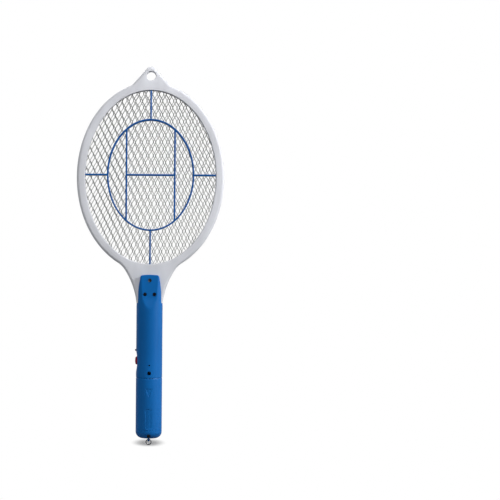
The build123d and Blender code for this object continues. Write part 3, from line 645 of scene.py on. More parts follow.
def frame_outline():
    """Outline of the head with its pointed tip and its yoke, anticlockwise from the yoke's right foot."""
    head = settings().head
    a, b = head.half_width, head.half_height
    foot = (settings().handle.radius, SHOULDER_Z - HEAD_Z)
    yoke_radius, yoke_blend, yoke_lean = 100.0 * MM, 30.0 * MM, math.radians(6.5)
    yoke_span = (math.radians(170), math.radians(95))
    yoke_centre = (foot[0] + yoke_radius * math.cos(yoke_lean), foot[1] - yoke_radius * math.sin(yoke_lean))
    tip_radius, tip_rise, tip_blend, tip_lean = 7.5 * MM, 4.8 * MM, 12.0 * MM, math.radians(41.7)
    tip_span = (0.0, 32 * MM)
    tip = (0.0, tip_rise - HEAD_Z)
    outward = (math.cos(tip_lean), math.sin(tip_lean))
    down = (outward[1], -outward[0])

    def yoke_path(t):
        reach = yoke_radius - yoke_blend
        return (yoke_centre[0] + reach * math.cos(t), yoke_centre[1] + reach * math.sin(t))

    def tip_path(t):
        return tuple(tip[i] + outward[i] * (tip_radius + tip_blend) + down[i] * t for i in range(2))

    blend_centre, blend_touch = blend_on_oval(a, b, yoke_path, yoke_blend, *yoke_span)
    tip_centre, tip_touch = blend_on_oval(a, b, tip_path, tip_blend, *tip_span)
    sweep = [blend_touch + (tip_touch - blend_touch) * i / 260 for i in range(261)]
    oval = [(a * math.cos(t), b * math.sin(t)) for t in sweep]
    flank_foot = tuple(tip_centre[i] - outward[i] * tip_blend for i in range(2))
    right = arc_between(yoke_centre, yoke_radius, foot, blend_centre, 40)
    right += arc_between(blend_centre, yoke_blend, right[-1], oval[0], 30)[1:]
    right += oval[1:]
    right += arc_between(tip_centre, tip_blend, oval[-1], flank_foot, 16)[1:]
    right += arc(tip, tip_radius, tip_lean, math.pi / 2, 20)
    right = [(x, z + HEAD_Z) for x, z in right]
    return right + [(-x, z) for x, z in right[-2::-1]]


def rim_row(outline, inset):
    """Outline moved inwards by inset; the cut-off foot of the yoke stays flat."""
    radius = settings().handle.radius
    row = offset_loop(outline, inset)
    for i, (x, z) in enumerate(outline):
        if z < SHOULDER_Z + MM:
            row[i] = (x * (1.0 - inset / radius), z)
    return row


def build_frame_half(name, front):
    """One moulded half of the head frame: rounded rim, lip round the opening, hang hole and yoke."""
    head = settings().head
    side = -1 if front else 1
    face = head.half_thickness
    lip = face - head.lip_thickness
    parting, groove, groove_edge, net_seat = 0.05 * MM, 0.35 * MM, 0.4 * MM, 7.4 * MM
    mouth_round, hole_round = 1.1 * MM, 0.9 * MM
    rim_profile = [(groove, parting), (0.0, groove_edge)] + rounded_edge(head.rim_round, face)
    mouth_profile = rounded_edge(mouth_round, face)[::-1] + [(0.0, lip), (net_seat, lip), (net_seat, parting)]
    hole_profile = rounded_edge(hole_round, face)[::-1] + [(0.0, parting)]
    bm = bmesh.new()

    def wall(profile, half_width, half_height, centre_z, count):
        loops = []
        for grow, depth in profile:
            oval = ellipse_loop(half_width + grow, half_height + grow, centre_z, count)
            loops.append(flat_loop(oval, side * depth))
        return skin(bm, loops)

    outline = resample(frame_outline(), 960)
    rim = skin(bm, [flat_loop(rim_row(outline, inset), side * depth) for inset, depth in rim_profile])
    mouth = wall(mouth_profile, *opening(), HEAD_Z, 288)
    hole = wall(hole_profile, head.hole_radius, head.hole_radius, 0.0, 72)
    fill_between(bm, rim[-1], mouth[0], hole[0])
    fill_between(bm, rim[0], mouth[-1], hole[-1])
    return finish_mesh(name, bm, 40.0)


def zigzag(left, right, levels):
    """Strand that swings from left to right and back between the levels, straight along each bond."""
    head = settings().head
    half_bond = head.bond_length / 2
    points = []
    for k in levels:
        x = right if k % 2 else left
        z = k * head.cell_height / 2
        points += [(x, z - half_bond), (x, z), (x, z + half_bond)]
    return points


def divided(path, steps=6):
    """The path with points added along its slanting stretches."""
    points = []
    for (x, z), (next_x, next_z) in zip(path, path[1:]):
        count = steps if abs(x - next_x) > 1e-9 else 1
        points += [(x + (next_x - x) * i / count, z + (next_z - z) * i / count) for i in range(count)]
    return points


def stretches_inside(points, reach):
    """The stretches of a path that lie inside an oval."""
    stretches = [[]]
    for x, z in points:
        if (x / reach[0]) ** 2 + (z / reach[1]) ** 2 < 1.0:
            stretches[-1].append((x, z))
        elif stretches[-1]:
            stretches.append([])
    return [stretch for stretch in stretches if len(stretch) > 1]


def strand(bm, path, width, thickness, y):
    """Flat strand along (x, z) points; slanting stretches lean their faces to one side."""
    loops = []
    for i, (x, z) in enumerate(path):
        ahead = path[min(i + 1, len(path) - 1)]
        behind = path[max(i - 1, 0)]
        tangent = Vector((ahead[0] - behind[0], ahead[1] - behind[1])).normalized()
        across = Vector((tangent.y, 0.0, -tangent.x))
        bonded = min(abs(ahead[0] - x), abs(x - behind[0])) < 1e-7
        lean = 0.0 if bonded else math.copysign(STRAND_LEAN, tangent.x)
        wide = across * (width / 2) + Vector((0.0, lean * width / 2, 0.0))
        thick = Vector((0.0, 1.0, 0.0)) * (thickness / 2) - across * (lean * thickness / 2)
        centre = Vector((x, y, z))
        loops.append([centre + wide * u + thick * v for u, v in ((-1, -1), (1, -1), (1, 1), (-1, 1))])
    skin(bm, loops, True, True)


def build_net(name, y, tab_x, shift, lift, skew, stretch):
    """Expanded-metal sheet, pulled a little askew: bonded strands in a flat oval rim with a contact tab."""
    head = settings().head
    cell = head.cell_width
    gap = head.strand_width * BOND_OFFSET
    reach = opening(1.6 * MM)
    columns = int(reach[0] / cell) + 3
    rows = int(reach[1] / (head.cell_height / 2)) + 2
    bm = bmesh.new()
    for column in range(-columns, columns + 1):
        start = (column + shift) * cell
        middle, end = start + cell / 2, start + cell
        for left, right in ((start + gap, middle - gap), (end - gap, middle + gap)):
            path = divided(zigzag(left, right, range(-rows, rows + 1)))
            pulled = [(x * stretch, z + lift + x * stretch * skew) for x, z in path]
            for run in stretches_inside(pulled, reach):
                strand(bm, [(x, z + HEAD_Z) for x, z in run], head.strand_width, NET_THICKNESS, y)
    inset, rim_half = 2.5 * MM, 0.3 * MM
    outer = (head.half_width - inset, head.half_height - inset)
    inner = opening(0.5 * MM)
    loops = []
    for size, level in ((outer, -rim_half), (outer, rim_half), (inner, rim_half), (inner, -rim_half)):
        loops.append(flat_loop(ellipse_loop(*size, HEAD_Z, 192), y + level))
    loops.append(loops[0])
    skin(bm, loops)
    tab, tab_half, foot = 2.0 * MM, 0.28 * MM, HEAD_Z - outer[1]
    low = (tab_x - tab, y - tab_half, foot - 6.0 * MM)
    block(bm, low, (tab_x + tab, y + tab_half, foot + 2.0 * MM))
    return finish_mesh(name, bm, 20.0)


def rib_section(width, low, high, rounding):
    """Section of a rib as (across, level) points, rounded at its outer side."""
    right = [(width / 2 - inset, level) for inset, level in rounded_edge(rounding, high, 4)]
    return [(-width / 2, low), (width / 2, low)] + right + [(-u, v) for u, v in right[::-1]]


def straight_rib(bm, start, end, section, side):
    """Rib between two (x, z) points."""
    direction = Vector((end[0] - start[0], 0.0, end[1] - start[1])).normalized()
    across = Vector((direction.z, 0.0, -direction.x))
    loops = []
    for x, z in (start, end):
        loops.append([Vector((x, side * v, z)) + across * u for u, v in section])
    skin(bm, loops, True, True)


def build_guard(name, front):
    """Rib grille: an oval rib with two uprights and a bar, four spokes and their feet in the lip."""
    head = settings().head
    side = -1 if front else 1
    half_width, half_height = 55.7 * MM, 71.7 * MM
    upright = 31.4 * MM
    centre = HEAD_Z + 3.0 * MM
    lip = head.half_thickness - head.lip_thickness
    foot_half, foot_height, foot_depth = 3.5 * MM, 5.0 * MM, 2.0 * MM
    clearance, overlap = 0.1 * MM, 0.2 * MM
    section = rib_section(head.rib_width, lip, -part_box("front_guard")[0].y, head.rib_round)
    bm = bmesh.new()
    loops = []
    for u, v in section:
        loops.append(flat_loop(ellipse_loop(half_width + u, half_height + u, centre, 192), side * v))
    loops.append(loops[0])
    skin(bm, loops)
    top = half_height * math.sqrt(1 - (upright / half_width) ** 2)
    for x in (-upright, upright):
        straight_rib(bm, (x, centre - top), (x, centre + top), section, side)
    straight_rib(bm, (-upright, centre), (upright, centre), section, side)
    wide, tall = opening()
    reach = wide * math.sqrt(1 - ((centre - HEAD_Z) / tall) ** 2) - clearance
    for sign in (-1, 1):
        x, z = sign * reach, HEAD_Z + sign * (tall - clearance)
        straight_rib(bm, (sign * half_width, centre), (x, centre), section, side)
        straight_rib(bm, (0.0, centre + sign * half_height), (0.0, z), section, side)
        inner, outer = -sign * overlap, sign * (foot_height - overlap)
        back, front_face = side * lip, side * (lip + foot_depth)
        block(bm, (x + inner, back, centre - foot_half), (x + outer, front_face, centre + foot_half))
        block(bm, (-foot_half, back, z + inner), (foot_half, front_face, z + outer))
    return finish_mesh(name, bm, 50.0)


# ---------------------------------------------------------------- handle


def soft_least(values, softness):
    """Smallest of some lengths with a soft turn from one to the next."""
    least = min(values)
    total = sum(math.exp((least - value) / softness) for value in values)
    return least - softness * math.log(total)


def handle_radius(angle, z):
    """Radius of the skin: round, with a flattened neck, a scoop beside the button and a parting groove."""
    handle = settings().handle
    full, soft = handle.radius, handle.edge_softness
    across, depth = abs(math.cos(angle)), abs(math.sin(angle))
    values = [full]
    if z > SHOULDER_Z - 9 * MM and depth > 0.2:
        facet_low, facet_high, facet_depth = SHOULDER_Z - 6.8 * MM, SHOULDER_Z + 6.0 * MM, 2.9 * MM
        upper_slope = 1.4 / 33.4
        steep = (z - facet_low) * facet_depth / (facet_high - facet_low)
        gentle = facet_depth + (z - facet_high) * upper_slope
        values.append((full - soft_least((steep, gentle), soft)) / depth)
    if z > SHOULDER_Z - 2 * MM and across > 0.2:
        share = (z - SHOULDER_Z) / (NECK_TOP_Z - SHOULDER_Z)
        values.append((full + (handle.neck_half_width - full) * max(share, -0.02)) / across)
    scoop_z, scoop_half, scoop_depth, bend = SEAM_Z + 21.2 * MM, 14.5 * MM, 1.5 * MM, 57.1 * MM
    if abs(z - scoop_z) < scoop_half and math.cos(angle) < -0.2:
        values.append((full - scoop_depth + bend - math.sqrt(bend**2 - (z - scoop_z) ** 2)) / across)
    parting_depth, parting_half = 0.14 * MM, 0.35 * MM
    parting = parting_depth * max(0.0, 1.0 - full * depth / parting_half)
    return soft_least(values, soft) - parting


def crown_drop(x):
    """How far the neck's upper end lies lower away from its middle, with rounded corners."""
    half = settings().handle.neck_half_width
    crown, corner = 0.9 * MM, 2.6 * MM
    steepest = 0.96 * corner  # short of the corner's upright end
    beyond = min(max(abs(x) - half + corner, 0.0), steepest)
    return crown * (x / half) ** 2 + corner - math.sqrt(corner**2 - beyond**2)


def handle_skin(bm):
    """Closed skin of the handle with its bore and its spigot."""
    handle = settings().handle
    angles = full_turn(handle.segments)
    bore_floor, shoulder, spigot_end = SHOULDER_Z - 14 * MM, SEAM_Z + 2.6 * MM, SEAM_Z - 38.8 * MM
    spigot, spigot_bore, chamfer = 14.6 * MM, 12.6 * MM, 0.4 * MM
    inner = [(0.5 * MM, bore_floor), (handle.bore, bore_floor), (handle.bore, shoulder)]
    inner += [(spigot_bore, shoulder), (spigot_bore, spigot_end), (spigot - chamfer, spigot_end)]
    inner += [(spigot, spigot_end + chamfer), (spigot, SEAM_Z), (handle.radius - handle.seam_chamfer, SEAM_Z)]
    loops = [[Vector((r * math.cos(a), r * math.sin(a), z)) for a in angles] for r, z in inner]

    def crowned(radii, z, lift=1.0):
        places = [(r * math.cos(a), r * math.sin(a)) for r, a in zip(radii, angles)]
        return [Vector((x, y, z - lift * crown_drop(x))) for x, y in places]

    z = SEAM_Z + handle.seam_chamfer
    rounding, fine, coarse = 1.0 * MM, 0.9 * MM, 1.3 * MM
    crown_low, crown_run, neck_low = NECK_TOP_Z - 12 * MM, 10 * MM, SHOULDER_Z - 12 * MM
    while z < NECK_TOP_Z - 0.9 * rounding:
        lift = ramp(z - crown_low, crown_run)
        loops.append(crowned([handle_radius(a, z) for a in angles], z, lift))
        z += fine if z > neck_low else coarse
    edge = [handle_radius(a, NECK_TOP_Z - rounding) for a in angles]
    for inset, z in rounded_edge(rounding, NECK_TOP_Z, 6)[1:]:
        loops.append(crowned([r - inset for r in edge], z))
    for share in (0.75, 0.5, 0.25):
        loops.append(crowned([(r - rounding) * share for r in edge], NECK_TOP_Z))
    skin(bm, loops, True, True)


def build_handle():
    """Both handle shells: one skin, cut for the screws, the lamps and the button, then halved."""
    bm = bmesh.new()
    handle_skin(bm)
    whole = finish_mesh("handle_whole", bm)
    tools = bmesh.new()
    for x, z, seat in NECK_SCREWS + BODY_SCREWS:
        drill(tools, SCREW_RECESS, seat * MM, (x * MM, z * MM), count=64)
    drill(tools, radius=1.1 * MM, bottom=13.0 * MM, centre=(0.0, CHARGE_LAMP_Z))
    drill(tools, radius=1.6 * MM, bottom=12.5 * MM, centre=(0.0, POWER_LAMP_Z), axis="X")
    slot = rounded_plan(half_width=3.8 * MM, half_height=5.55 * MM, corner=2.7 * MM)
    slot_ends = (OUTSIDE, -11.0 * MM)
    skin(tools, [[Vector((x, u, BUTTON_Z + v)) for u, v in slot] for x in slot_ends], True, True)
    cut(whole, tools)
    front = half_of(whole, "handle_front_shell", True)
    back = half_of(whole, "handle_back_shell", False)
    bpy.data.objects.remove(whole)
    return front, back


def build_screw_tower():
    """Tube inside the handle round the body screw, with a floor that the screw's head sits on."""
    x, z, seat = BODY_SCREWS[0]
    outer, hole, front, back = 3.2 * MM, 1.4 * MM, -15.6 * MM, -8.2 * MM
    profile = [(SCREW_RECESS, -seat * MM), (SCREW_RECESS, front), (outer, front), (outer, back)]
    profile += [(hole, back), (hole, -seat * MM)]
    bm = bmesh.new()
    lathe(bm, profile, 48, (x * MM, z * MM), "Y", closed=True)
    return finish_mesh("body_screw_tower", bm)


def build_screws(name, places, shank_length):
    """Pan-head screws with a cross recess, heads towards the front."""
    shank, head, height = 1.3 * MM, 2.3 * MM, 1.6 * MM
    side_round, top_round = 0.5 * MM, 0.7 * MM
    arm, arm_half, cross_depth, above = 1.25 * MM, 0.24 * MM, 0.8 * MM, 0.5 * MM
    bm = bmesh.new()
    tools = bmesh.new()
    for x, z, seat in places:
        x, z, seat = x * MM, z * MM, seat * MM
        top = -seat - height
        profile = [(shank, shank_length - seat), (shank, -seat), (head, -seat)]
        for t in quarter_turn(6):
            profile.append((head - side_round * (1 - math.cos(t)), top + top_round * (1 - math.sin(t))))
        lathe(bm, profile[::-1], 48, (x, z), "Y")
        for wide, tall in ((arm, arm_half), (arm_half, arm)):
            block(tools, (x - wide, top - above, z - tall), (x + wide, top + cross_depth, z + tall))
    piece = finish_mesh(name, bm)
    cut(piece, tools, overlapping=True)
    return piece


def build_button():
    """Push button: bowed rounded key with a flange and a stem behind it."""
    low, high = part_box("zap_button")
    centre = (low.z + high.z) / 2
    half_width, half_height, corner = 3.5 * MM, 5.25 * MM, 2.4 * MM
    face, wall_end, edge, bow = low.x, low.x + 2.2 * MM, 1.1 * MM, 0.8 * MM
    flange, flange_width, flange_back, stem = -13.31 * MM, 1.2 * MM, -12.11 * MM, 2.2 * MM

    def ring(x, inset=0.0, corner=corner, bow=0.0, share=1.0):
        sizes = (half_width - inset, half_height - inset, corner)
        plan = rounded_plan(*(size * share for size in sizes))
        return [Vector((x + bow * (v / half_height) ** 2, u, centre + v)) for u, v in plan]

    loops = [ring(flange_back, -flange_width), ring(flange, -flange_width), ring(flange), ring(wall_end)]
    for inset, level in rounded_edge(edge, 0.0, 5)[1:]:
        loops.append(ring(face - level, inset, corner - inset, bow))
    for share in (0.75, 0.5, 0.2):
        loops.append(ring(face, edge, corner - edge, bow, share))
    bm = bmesh.new()
    skin(bm, loops, True, True)
    lathe(bm, [(stem, flange_back), (stem, high.x)], 48, (0.0, centre), "X")
    return finish_mesh("zap_key", bm)


def build_power_lamp():
    """Domed lamp in the handle's side with its two leads, which bend back to the board."""
    low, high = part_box("power_lamp")
    radius, dome, back = 1.5 * MM, 1.4 * MM, low.x + 5.0 * MM
    lead, bend, lead_end, spread, overlap = 0.25 * MM, back + MM, back + 1.5 * MM, 1.27 * MM, 0.2 * MM
    profile = [(radius, back)]
    profile += [(radius * math.cos(t), low.x + dome * (1 - math.sin(t))) for t in quarter_turn(8)]
    bm = bmesh.new()
    lathe(bm, profile, 40, (0.0, POWER_LAMP_Z), "X")
    for level in (POWER_LAMP_Z - spread, POWER_LAMP_Z + spread):
        block(bm, (back, -lead, level - lead), (lead_end, lead, level + lead))
        block(bm, (bend, -overlap, level - lead), (lead_end, high.y, level + lead))
    return finish_mesh("power_lamp_lens", bm)


# ---------------------------------------------------------------- tail


def sunk_depth(u, z):
    """Depth of the arrow and the thumb groove at a place on the tail cover."""
    arrow_top, arrow_tip, arrow_half = SEAM_Z - 13.6 * MM, SEAM_Z - 25.4 * MM, 5.0 * MM
    arrow_depth, arrow_wall = 0.40 * MM, 0.6 * MM
    lean = math.atan2(arrow_half, arrow_top - arrow_tip)
    flank = (z - arrow_tip) * math.sin(lean) - abs(u) * math.cos(lean)
    arrow = arrow_depth * ramp(min(flank, arrow_top - z), arrow_wall)
    low, high, half, corner = SEAM_Z - 66.2 * MM, SEAM_Z - 39.6 * MM, 4.7 * MM, 2.6 * MM
    groove_depth, left_wall, right_wall = 0.45 * MM, 0.7 * MM, 2.8 * MM
    du = max(abs(u) - half + corner, 0.0)
    dz = max(abs(z - (low + high) / 2) - (high - low) / 2 + corner, 0.0)
    wall = left_wall + (right_wall - left_wall) * ramp(u + 1.0 * MM, 3.0 * MM)
    groove = groove_depth * ramp(corner - math.hypot(du, dz), wall)
    return max(arrow, groove)


def build_tail_cover():
    """Pull-off cover: round sleeve with a thumb groove and an arrow sunk into its front."""
    handle = settings().handle
    radius, chamfer = handle.radius, handle.seam_chamfer
    bore, end_wall, edge, edge_inset = 14.9 * MM, 2.4 * MM, 0.3 * MM, 0.25 * MM
    top = SEAM_Z - edge
    front_step, rest_count = 0.2 * MM, 132
    front = [u * front_step / radius - math.pi / 2 for u in range(-30, 31)]
    rest_step = (2 * math.pi - front[-1] + front[0]) / rest_count
    angles = front + [front[-1] + rest_step * i for i in range(1, rest_count)]

    def ring(reach, z, sunk=False):
        points = []
        for a in angles:
            deep = sunk and math.sin(a) < -0.8
            r = reach - sunk_depth(radius * (a + math.pi / 2), z) if deep else reach
            points.append(Vector((r * math.cos(a), r * math.sin(a), z)))
        return points

    fine, coarse = 0.3 * MM, 2.0 * MM
    levels = [COVER_END_Z + edge]
    while levels[-1] < top - chamfer - coarse:
        z = levels[-1]
        beside_groove = z < SEAM_Z - 38.0 * MM
        beside_arrow = SEAM_Z - 27.0 * MM < z < SEAM_Z - 12.0 * MM
        levels.append(z + (fine if beside_groove or beside_arrow else coarse))
    loops = [ring(radius - edge_inset, COVER_END_Z)] + [ring(radius, z, True) for z in levels]
    loops += [ring(radius, top - chamfer), ring(radius - chamfer, top), ring(bore, top)]
    loops.append(ring(bore, COVER_END_Z + end_wall))
    bm = bmesh.new()
    skin(bm, loops, True, True)
    return finish_mesh("tail_sleeve", bm, 50.0)


def build_tail_cap():
    """Domed end cap with a recess for its screw."""
    radius, corner = settings().handle.radius, settings().handle.cap_corner
    edge, top = 0.3 * MM, COVER_END_Z - 0.02 * MM
    profile = [(0.0, CAP_END_Z)]
    profile += [(radius - inset, CAP_END_Z - level) for inset, level in rounded_edge(corner, 0.0, 20)[::-1]]
    profile += [(radius, COVER_END_Z - edge), (radius - edge, top), (0.0, top)]
    bm = bmesh.new()
    lathe(bm, profile, 192)
    cap = finish_mesh("tail_dome", bm)
    tools = bmesh.new()
    for x, z, seat in CAP_SCREWS:
        drill(tools, SCREW_RECESS, seat * MM, (x * MM, z * MM), count=64)
    cut(cap, tools)
    return cap


def build_ring_lug():
    """Rounded lug under the end cap with the hole for the ring."""
    radius, hole_radius, corner, half = 2.9 * MM, 1.3 * MM, 0.9 * MM, 1.3 * MM
    centre, shoulder = CAP_END_Z - 1.7 * MM, CAP_END_Z + 0.6 * MM
    outline = arc((0.0, centre), radius, -math.pi, 0.0, 24)
    outline += arc((radius - corner, shoulder), corner, 0.0, math.pi / 2, 8)
    outline += arc((corner - radius, shoulder), corner, math.pi / 2, math.pi, 8)
    outline = resample(outline, 96)
    hole = ellipse_loop(hole_radius, hole_radius, centre, 96)
    bm = bmesh.new()

    def wall(points, inset, straight):
        loops = []
        for amount, x in ((inset, -half), (0.0, -straight), (0.0, straight), (inset, half)):
            loops.append([Vector((x, y, z)) for y, z in offset_loop(points, amount)])
        return skin(bm, loops)

    outside = wall(outline, 0.4 * MM, 0.9 * MM)
    inside = wall(hole, -0.3 * MM, 1.0 * MM)
    for i in (0, -1):
        fill_between(bm, outside[i], inside[i])
    return finish_mesh("ring_lug", bm)


def build_ring():
    """Round wire ring that hangs in the lug."""
    low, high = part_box("lanyard_ring")
    wire = 0.65 * MM
    middle = (high.x - low.x) / 2 - wire
    section = [(middle + wire * math.cos(b), wire * math.sin(b)) for b in full_turn(20)]
    bm = bmesh.new()
    lathe(bm, section, 96, (0.0, (low.z + high.z) / 2), "Y", closed=True)
    return finish_mesh("wire_ring", bm)


# ---------------------------------------------------------------- operators


class PieceOperator:
    """What the operators share."""

    bl_options = {"REGISTER", "UNDO"}


class SWATTER_OT_head_frame(PieceOperator, bpy.types.Operator):
    """Build both moulded halves of the head frame and finish the spacer rings"""

    bl_idname = "fly_swatter.head_frame"
    bl_label = "Head Frame"

    def execute(self, context):
        grey = moulded_plastic("grey_plastic", settings().finish.grey, 0.50, 0.14, 0.06)
        for name, node, front in (("front_rim", "front_frame", True), ("rear_rim", "rear_frame", False)):
            dress(build_frame_half(name, front), grey, "racket", "grey_plastic", node)
        for node in ("front_spacer", "rear_spacer"):
            recolour(node, grey)
        return {"FINISHED"}


class SWATTER_OT_nets(PieceOperator, bpy.types.Operator):
    """Build the three expanded-metal nets and finish their contact strips"""

    bl_idname = "fly_swatter.nets"
    bl_label = "Nets"

    def execute(self, context):
        metal = expanded_metal("net_metal", settings().finish.net_metal)
        for node, y, tab_x, shift, lift, skew, stretch in NETS:
            name = node.replace("net", "mesh_sheet")
            sheet = build_net(name, y * MM, tab_x * MM, shift, lift * MM, skew, stretch)
            dress(sheet, metal, "racket", "net_metal", node)
        strip = turned_metal("strip_metal", (0.72, 0.55, 0.28), 0.25)
        for node in ("net_strips", "battery_strips", "plug_strips"):
            recolour(node, strip)
        return {"FINISHED"}


class SWATTER_OT_guards(PieceOperator, bpy.types.Operator):
    """Build the blue rib grilles of the front and the back"""

    bl_idname = "fly_swatter.guards"
    bl_label = "Guard Ribs"

    def execute(self, context):
        blue = moulded_plastic("rib_blue_plastic", settings().finish.rib_blue, 0.45, 0.25, 0.04)
        for name, node, front in (("front_ribs", "front_guard", True), ("rear_ribs", "rear_guard", False)):
            dress(build_guard(name, front), blue, "racket", "rib_blue_plastic", node)
        return {"FINISHED"}


class SWATTER_OT_handle(PieceOperator, bpy.types.Operator):
    """Build the two handle shells with their recesses and the tube round the body screw"""

    bl_idname = "fly_swatter.handle"
    bl_label = "Handle Shells"

    def execute(self, context):
        blue = moulded_plastic("blue_plastic", settings().finish.blue, 0.42, 0.24, 0.05)
        front, back = build_handle()
        dress(front, blue, "racket", "blue_plastic", "handle_front")
        dress(back, blue, "racket", "blue_plastic", "handle_back")
        dress(build_screw_tower(), blue, "racket", "blue_plastic")
        return {"FINISHED"}


class SWATTER_OT_screws(PieceOperator, bpy.types.Operator):
    """Build the cross-head screws of the neck, the body and the end cap"""

    bl_idname = "fly_swatter.screws"
    bl_label = "Screws"

    def execute(self, context):
        steel = turned_metal("screw_steel", (0.11, 0.11, 0.12), 0.30)
        neck = build_screws("neck_screw_set", NECK_SCREWS, 22.0 * MM)
        body = build_screws("body_screw_head", BODY_SCREWS, 16.0 * MM)
        cap = build_screws("cap_screw_head", CAP_SCREWS, 13.0 * MM)
        dress(neck, steel, "racket", "screw_steel", "neck_screws")
        dress(body, steel, "racket", "screw_steel", "body_screw")
        dress(cap, steel, "tail", "screw_steel", "cap_screw")
        return {"FINISHED"}


class SWATTER_OT_button_and_lamps(PieceOperator, bpy.types.Operator):
    """Build the push button and the power lamp and finish the charge lamp and the switch"""

    bl_idname = "fly_swatter.button_and_lamps"
    bl_label = "Button and Lamps"

    def execute(self, context):
        red = moulded_plastic("red_plastic", settings().finish.red, 0.38, 0.4, 0.03)
        dress(build_button(), red, "button", "red_plastic", "zap_button")
        lens = tinted_lens("red_lens", (0.06, 0.004, 0.008))
        dress(build_power_lamp(), lens, "racket", "red_lens", "power_lamp")
        recolour("charge_lamp", tinted_lens("green_lens", (0.010, 0.040, 0.020)))
        dark = moulded_plastic("dark_plastic", (0.022, 0.022, 0.024), 0.45, 0.4, 0.08)
        for node in ("switch_plunger", "switch_body", "transistor"):
            recolour(node, dark)
        return {"FINISHED"}


class SWATTER_OT_circuit(PieceOperator, bpy.types.Operator):
    """Finish the board, its parts, the battery and the plug"""

    bl_idname = "fly_swatter.circuit"
    bl_label = "Circuit and Plug"

    def execute(self, context):
        recolour("circuit_board", laminate("board"))
        recolour("transformer", wrapped_tape("transformer_tape", (0.62, 0.46, 0.06)))
        recolour("capacitors", moulded_plastic("capacitor_film", (0.36, 0.05, 0.02), 0.25, 0.5, 0.05))
        recolour("diodes", banded_body("diode_body", (0.02, 0.02, 0.022), (0.6, 0.6, 0.6), 190.0))
        recolour("resistors", banded_body("resistor_body", (0.58, 0.46, 0.28), (0.25, 0.03, 0.02), 640.0))
        recolour("battery", wrapped_tape("battery_case", (0.06, 0.07, 0.09)))
        recolour("plug_base", moulded_plastic("plug_plastic", (0.025, 0.025, 0.028), 0.40, 0.4, 0.08))
        recolour("plug_pins", turned_metal("pin_brass", (0.72, 0.68, 0.60), 0.18))
        return {"FINISHED"}


class SWATTER_OT_tail(PieceOperator, bpy.types.Operator):
    """Build the pull-off tail cover, its end cap, the lug and the ring"""

    bl_idname = "fly_swatter.tail"
    bl_label = "Tail Cover and Ring"

    def execute(self, context):
        blue = moulded_plastic("tail_blue_plastic", settings().finish.blue, 0.42, 0.24, 0.05)
        dress(build_tail_cover(), blue, "tail", "blue_plastic", "tail_cover")
        dress(build_tail_cap(), blue, "tail", "blue_plastic", "tail_cap")
        dress(build_ring_lug(), blue, "tail", "blue_plastic")
        chrome = turned_metal("ring_chrome", (0.27, 0.27, 0.28), 0.20)
        dress(build_ring(), chrome, "ring", "ring_chrome", "lanyard_ring")
        return {"FINISHED"}


# ---------------------------------------------------------------- studio


def area_lamp(name, place, target, size, power, glossy):
    """Round lamp that shines from one place at another."""
    light = bpy.data.lights.new(name, "AREA")
    light.shape = "DISK"
    light.size = size
    light.energy = power
    lamp = bpy.data.objects.new(name, light)
    bpy.context.scene.collection.objects.link(lamp)
    lamp.location = place
    lamp.rotation_euler = (Vector(target) - Vector(place)).to_track_quat("-Z", "Y").to_euler()
    lamp.visible_glossy = glossy


def white_world(tint):
    """White backdrop behind the object, a dimmer studio in front and to its left, soft light all round."""
    world = bpy.data.worlds.new("studio")
    bpy.context.scene.world = world
    world.use_nodes = True
    world.node_tree.nodes.clear()
    s = Nodes(world.node_tree)

    def light(tone, strength):
        return s.node("ShaderNodeBackground", inputs={"Color": tone, "Strength": strength}).outputs[0]

    path = s.node("ShaderNodeLightPath").outputs
    heading = s.measure("DOT_PRODUCT", s.node("ShaderNodeTexCoord").outputs["Generated"], (0.35, 0.94, 0.0))
    soft = light((0.96, 0.98, 1.0), 0.14)
    mirrored = light((0.97, 0.98, 1.0), heading.smooth(-0.25, 0.45, 0.05, 1.0))
    lit = s.blend(path["Is Glossy Ray"], soft, mirrored)
    seen = Number(s, path["Is Camera Ray"]).either(path["Is Transmission Ray"])
    s.node("ShaderNodeOutputWorld", inputs={"Surface": s.blend(seen, lit, light(tint, 1.0))})


def floor_material(tint):
    """Floor that keeps the object's real shadow and has a painted shadow patch behind its foot, turning to
    plain backdrop away from it.
    """
    s = Shader("pale_floor")
    fibre = s.noise(40.0, 2.0)
    # Painted shadow: in a patch stretched across and set just behind the foot, the camera sees the lit floor
    # in a low colour, so that the patch reads as a soft grey shadow along with the real one. Farther out it
    # sees plain backdrop, and the still lower colour there only dims the light that the floor throws back.
    far = s.measure("DISTANCE", s.scaled(s.place, (2.4, 1.0, 0.0)), (0.0, 0.034, 0.0)).smooth(0.014, 0.060)
    painted_shadow_tone = s.mix(fibre, shade(tint, 0.28), shade(tint, 0.30))
    s.set(Base_Color=s.mix(far, painted_shadow_tone, shade(tint, 0.18)), Roughness=0.9)
    glow = s.node("ShaderNodeEmission", inputs={"Color": tint, "Strength": 1.0})
    seen = Number(s, s.node("ShaderNodeLightPath").outputs["Is Camera Ray"]) * far
    s.feed(s.output.inputs["Surface"], s.blend(seen, s.surface.outputs[0], glow.outputs[0]))
    return s.material


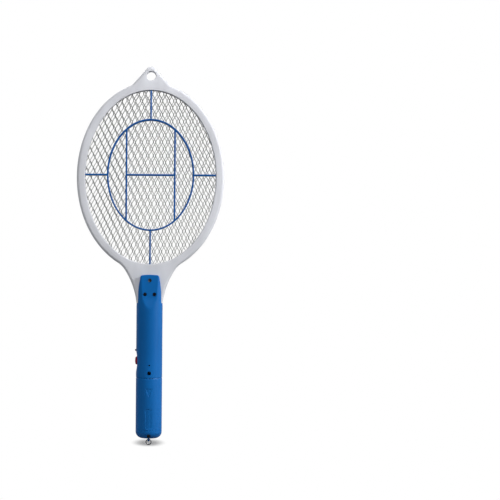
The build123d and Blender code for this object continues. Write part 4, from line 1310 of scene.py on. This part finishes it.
class SWATTER_OT_stage(PieceOperator, bpy.types.Operator):
    """Set up the floor, the lamps, the world and the camera"""

    bl_idname = "fly_swatter.stage"
    bl_label = "Studio"

    def execute(self, context):
        scene = context.scene
        scene.view_settings.view_transform = "Standard"
        backdrop = settings().finish.backdrop
        white_world(backdrop)
        half, level = FLOOR_HALF, CAD_BOX[0][2] - FLOOR_GAP
        bm = bmesh.new()
        corners = [(-half, -half), (half, -half), (half, half), (-half, half)]
        bm.faces.new([bm.verts.new((x, y, level)) for x, y in corners])
        floor = finish_mesh("floor", bm)
        floor.data.materials.append(floor_material(backdrop))
        for lamp in LAMPS:
            area_lamp(*lamp)
        camera = bpy.data.objects.new("camera", bpy.data.cameras.new("camera"))
        scene.collection.objects.link(camera)
        camera.data.sensor_width = SENSOR_WIDTH
        camera.data.lens = SENSOR_WIDTH * CAMERA_DISTANCE / VIEW_WIDTH
        camera.data.shift_x = VIEW_SHIFT
        camera.location = (0.0, -CAMERA_DISTANCE, CAMERA_Z)
        camera.rotation_euler = (math.radians(90.0), math.radians(CAMERA_ROLL), 0.0)
        scene.camera = camera
        return {"FINISHED"}


# ---------------------------------------------------------------- panel


class SWATTER_PT_panel(bpy.types.Panel):
    """Sizes, finishes and buttons of the fly swatter"""

    bl_idname = "SWATTER_PT_panel"
    bl_label = "Fly Swatter"
    bl_space_type = "VIEW_3D"
    bl_region_type = "UI"
    bl_category = "Fly Swatter"

    def draw(self, context):
        swatter = context.scene.fly_swatter
        groups = {"Head": swatter.head, "Handle": swatter.handle, "Finishes": swatter.finish}
        for title, group in groups.items():
            box = self.layout.box()
            box.label(text=title)
            for key in group.bl_rna.properties.keys():
                if key not in ("rna_type", "name"):
                    box.prop(group, key)
        for operator in OPERATORS:
            self.layout.operator(operator.bl_idname)


OPERATORS = (
    SWATTER_OT_stage,
    SWATTER_OT_head_frame,
    SWATTER_OT_nets,
    SWATTER_OT_guards,
    SWATTER_OT_handle,
    SWATTER_OT_screws,
    SWATTER_OT_button_and_lamps,
    SWATTER_OT_circuit,
    SWATTER_OT_tail,
)
GROUPS = (SwatterHeadSizes, SwatterHandleSizes, SwatterFinishes, SwatterSettings)
CLASSES = (*GROUPS, *OPERATORS, SWATTER_PT_panel)


def register():
    """Adds the classes and the settings to Blender."""
    for item in CLASSES:
        bpy.utils.register_class(item)
    bpy.types.Scene.fly_swatter = PointerProperty(type=SwatterSettings)


def unregister():
    """Takes the settings and the classes out of Blender."""
    del bpy.types.Scene.fly_swatter
    for item in reversed(CLASSES):
        bpy.utils.unregister_class(item)


def main():
    """Registers the add-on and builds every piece."""
    register()
    for operator in OPERATORS:
        group, name = operator.bl_idname.split(".")
        getattr(getattr(bpy.ops, group), name)()


if __name__ == "__main__":
    main()
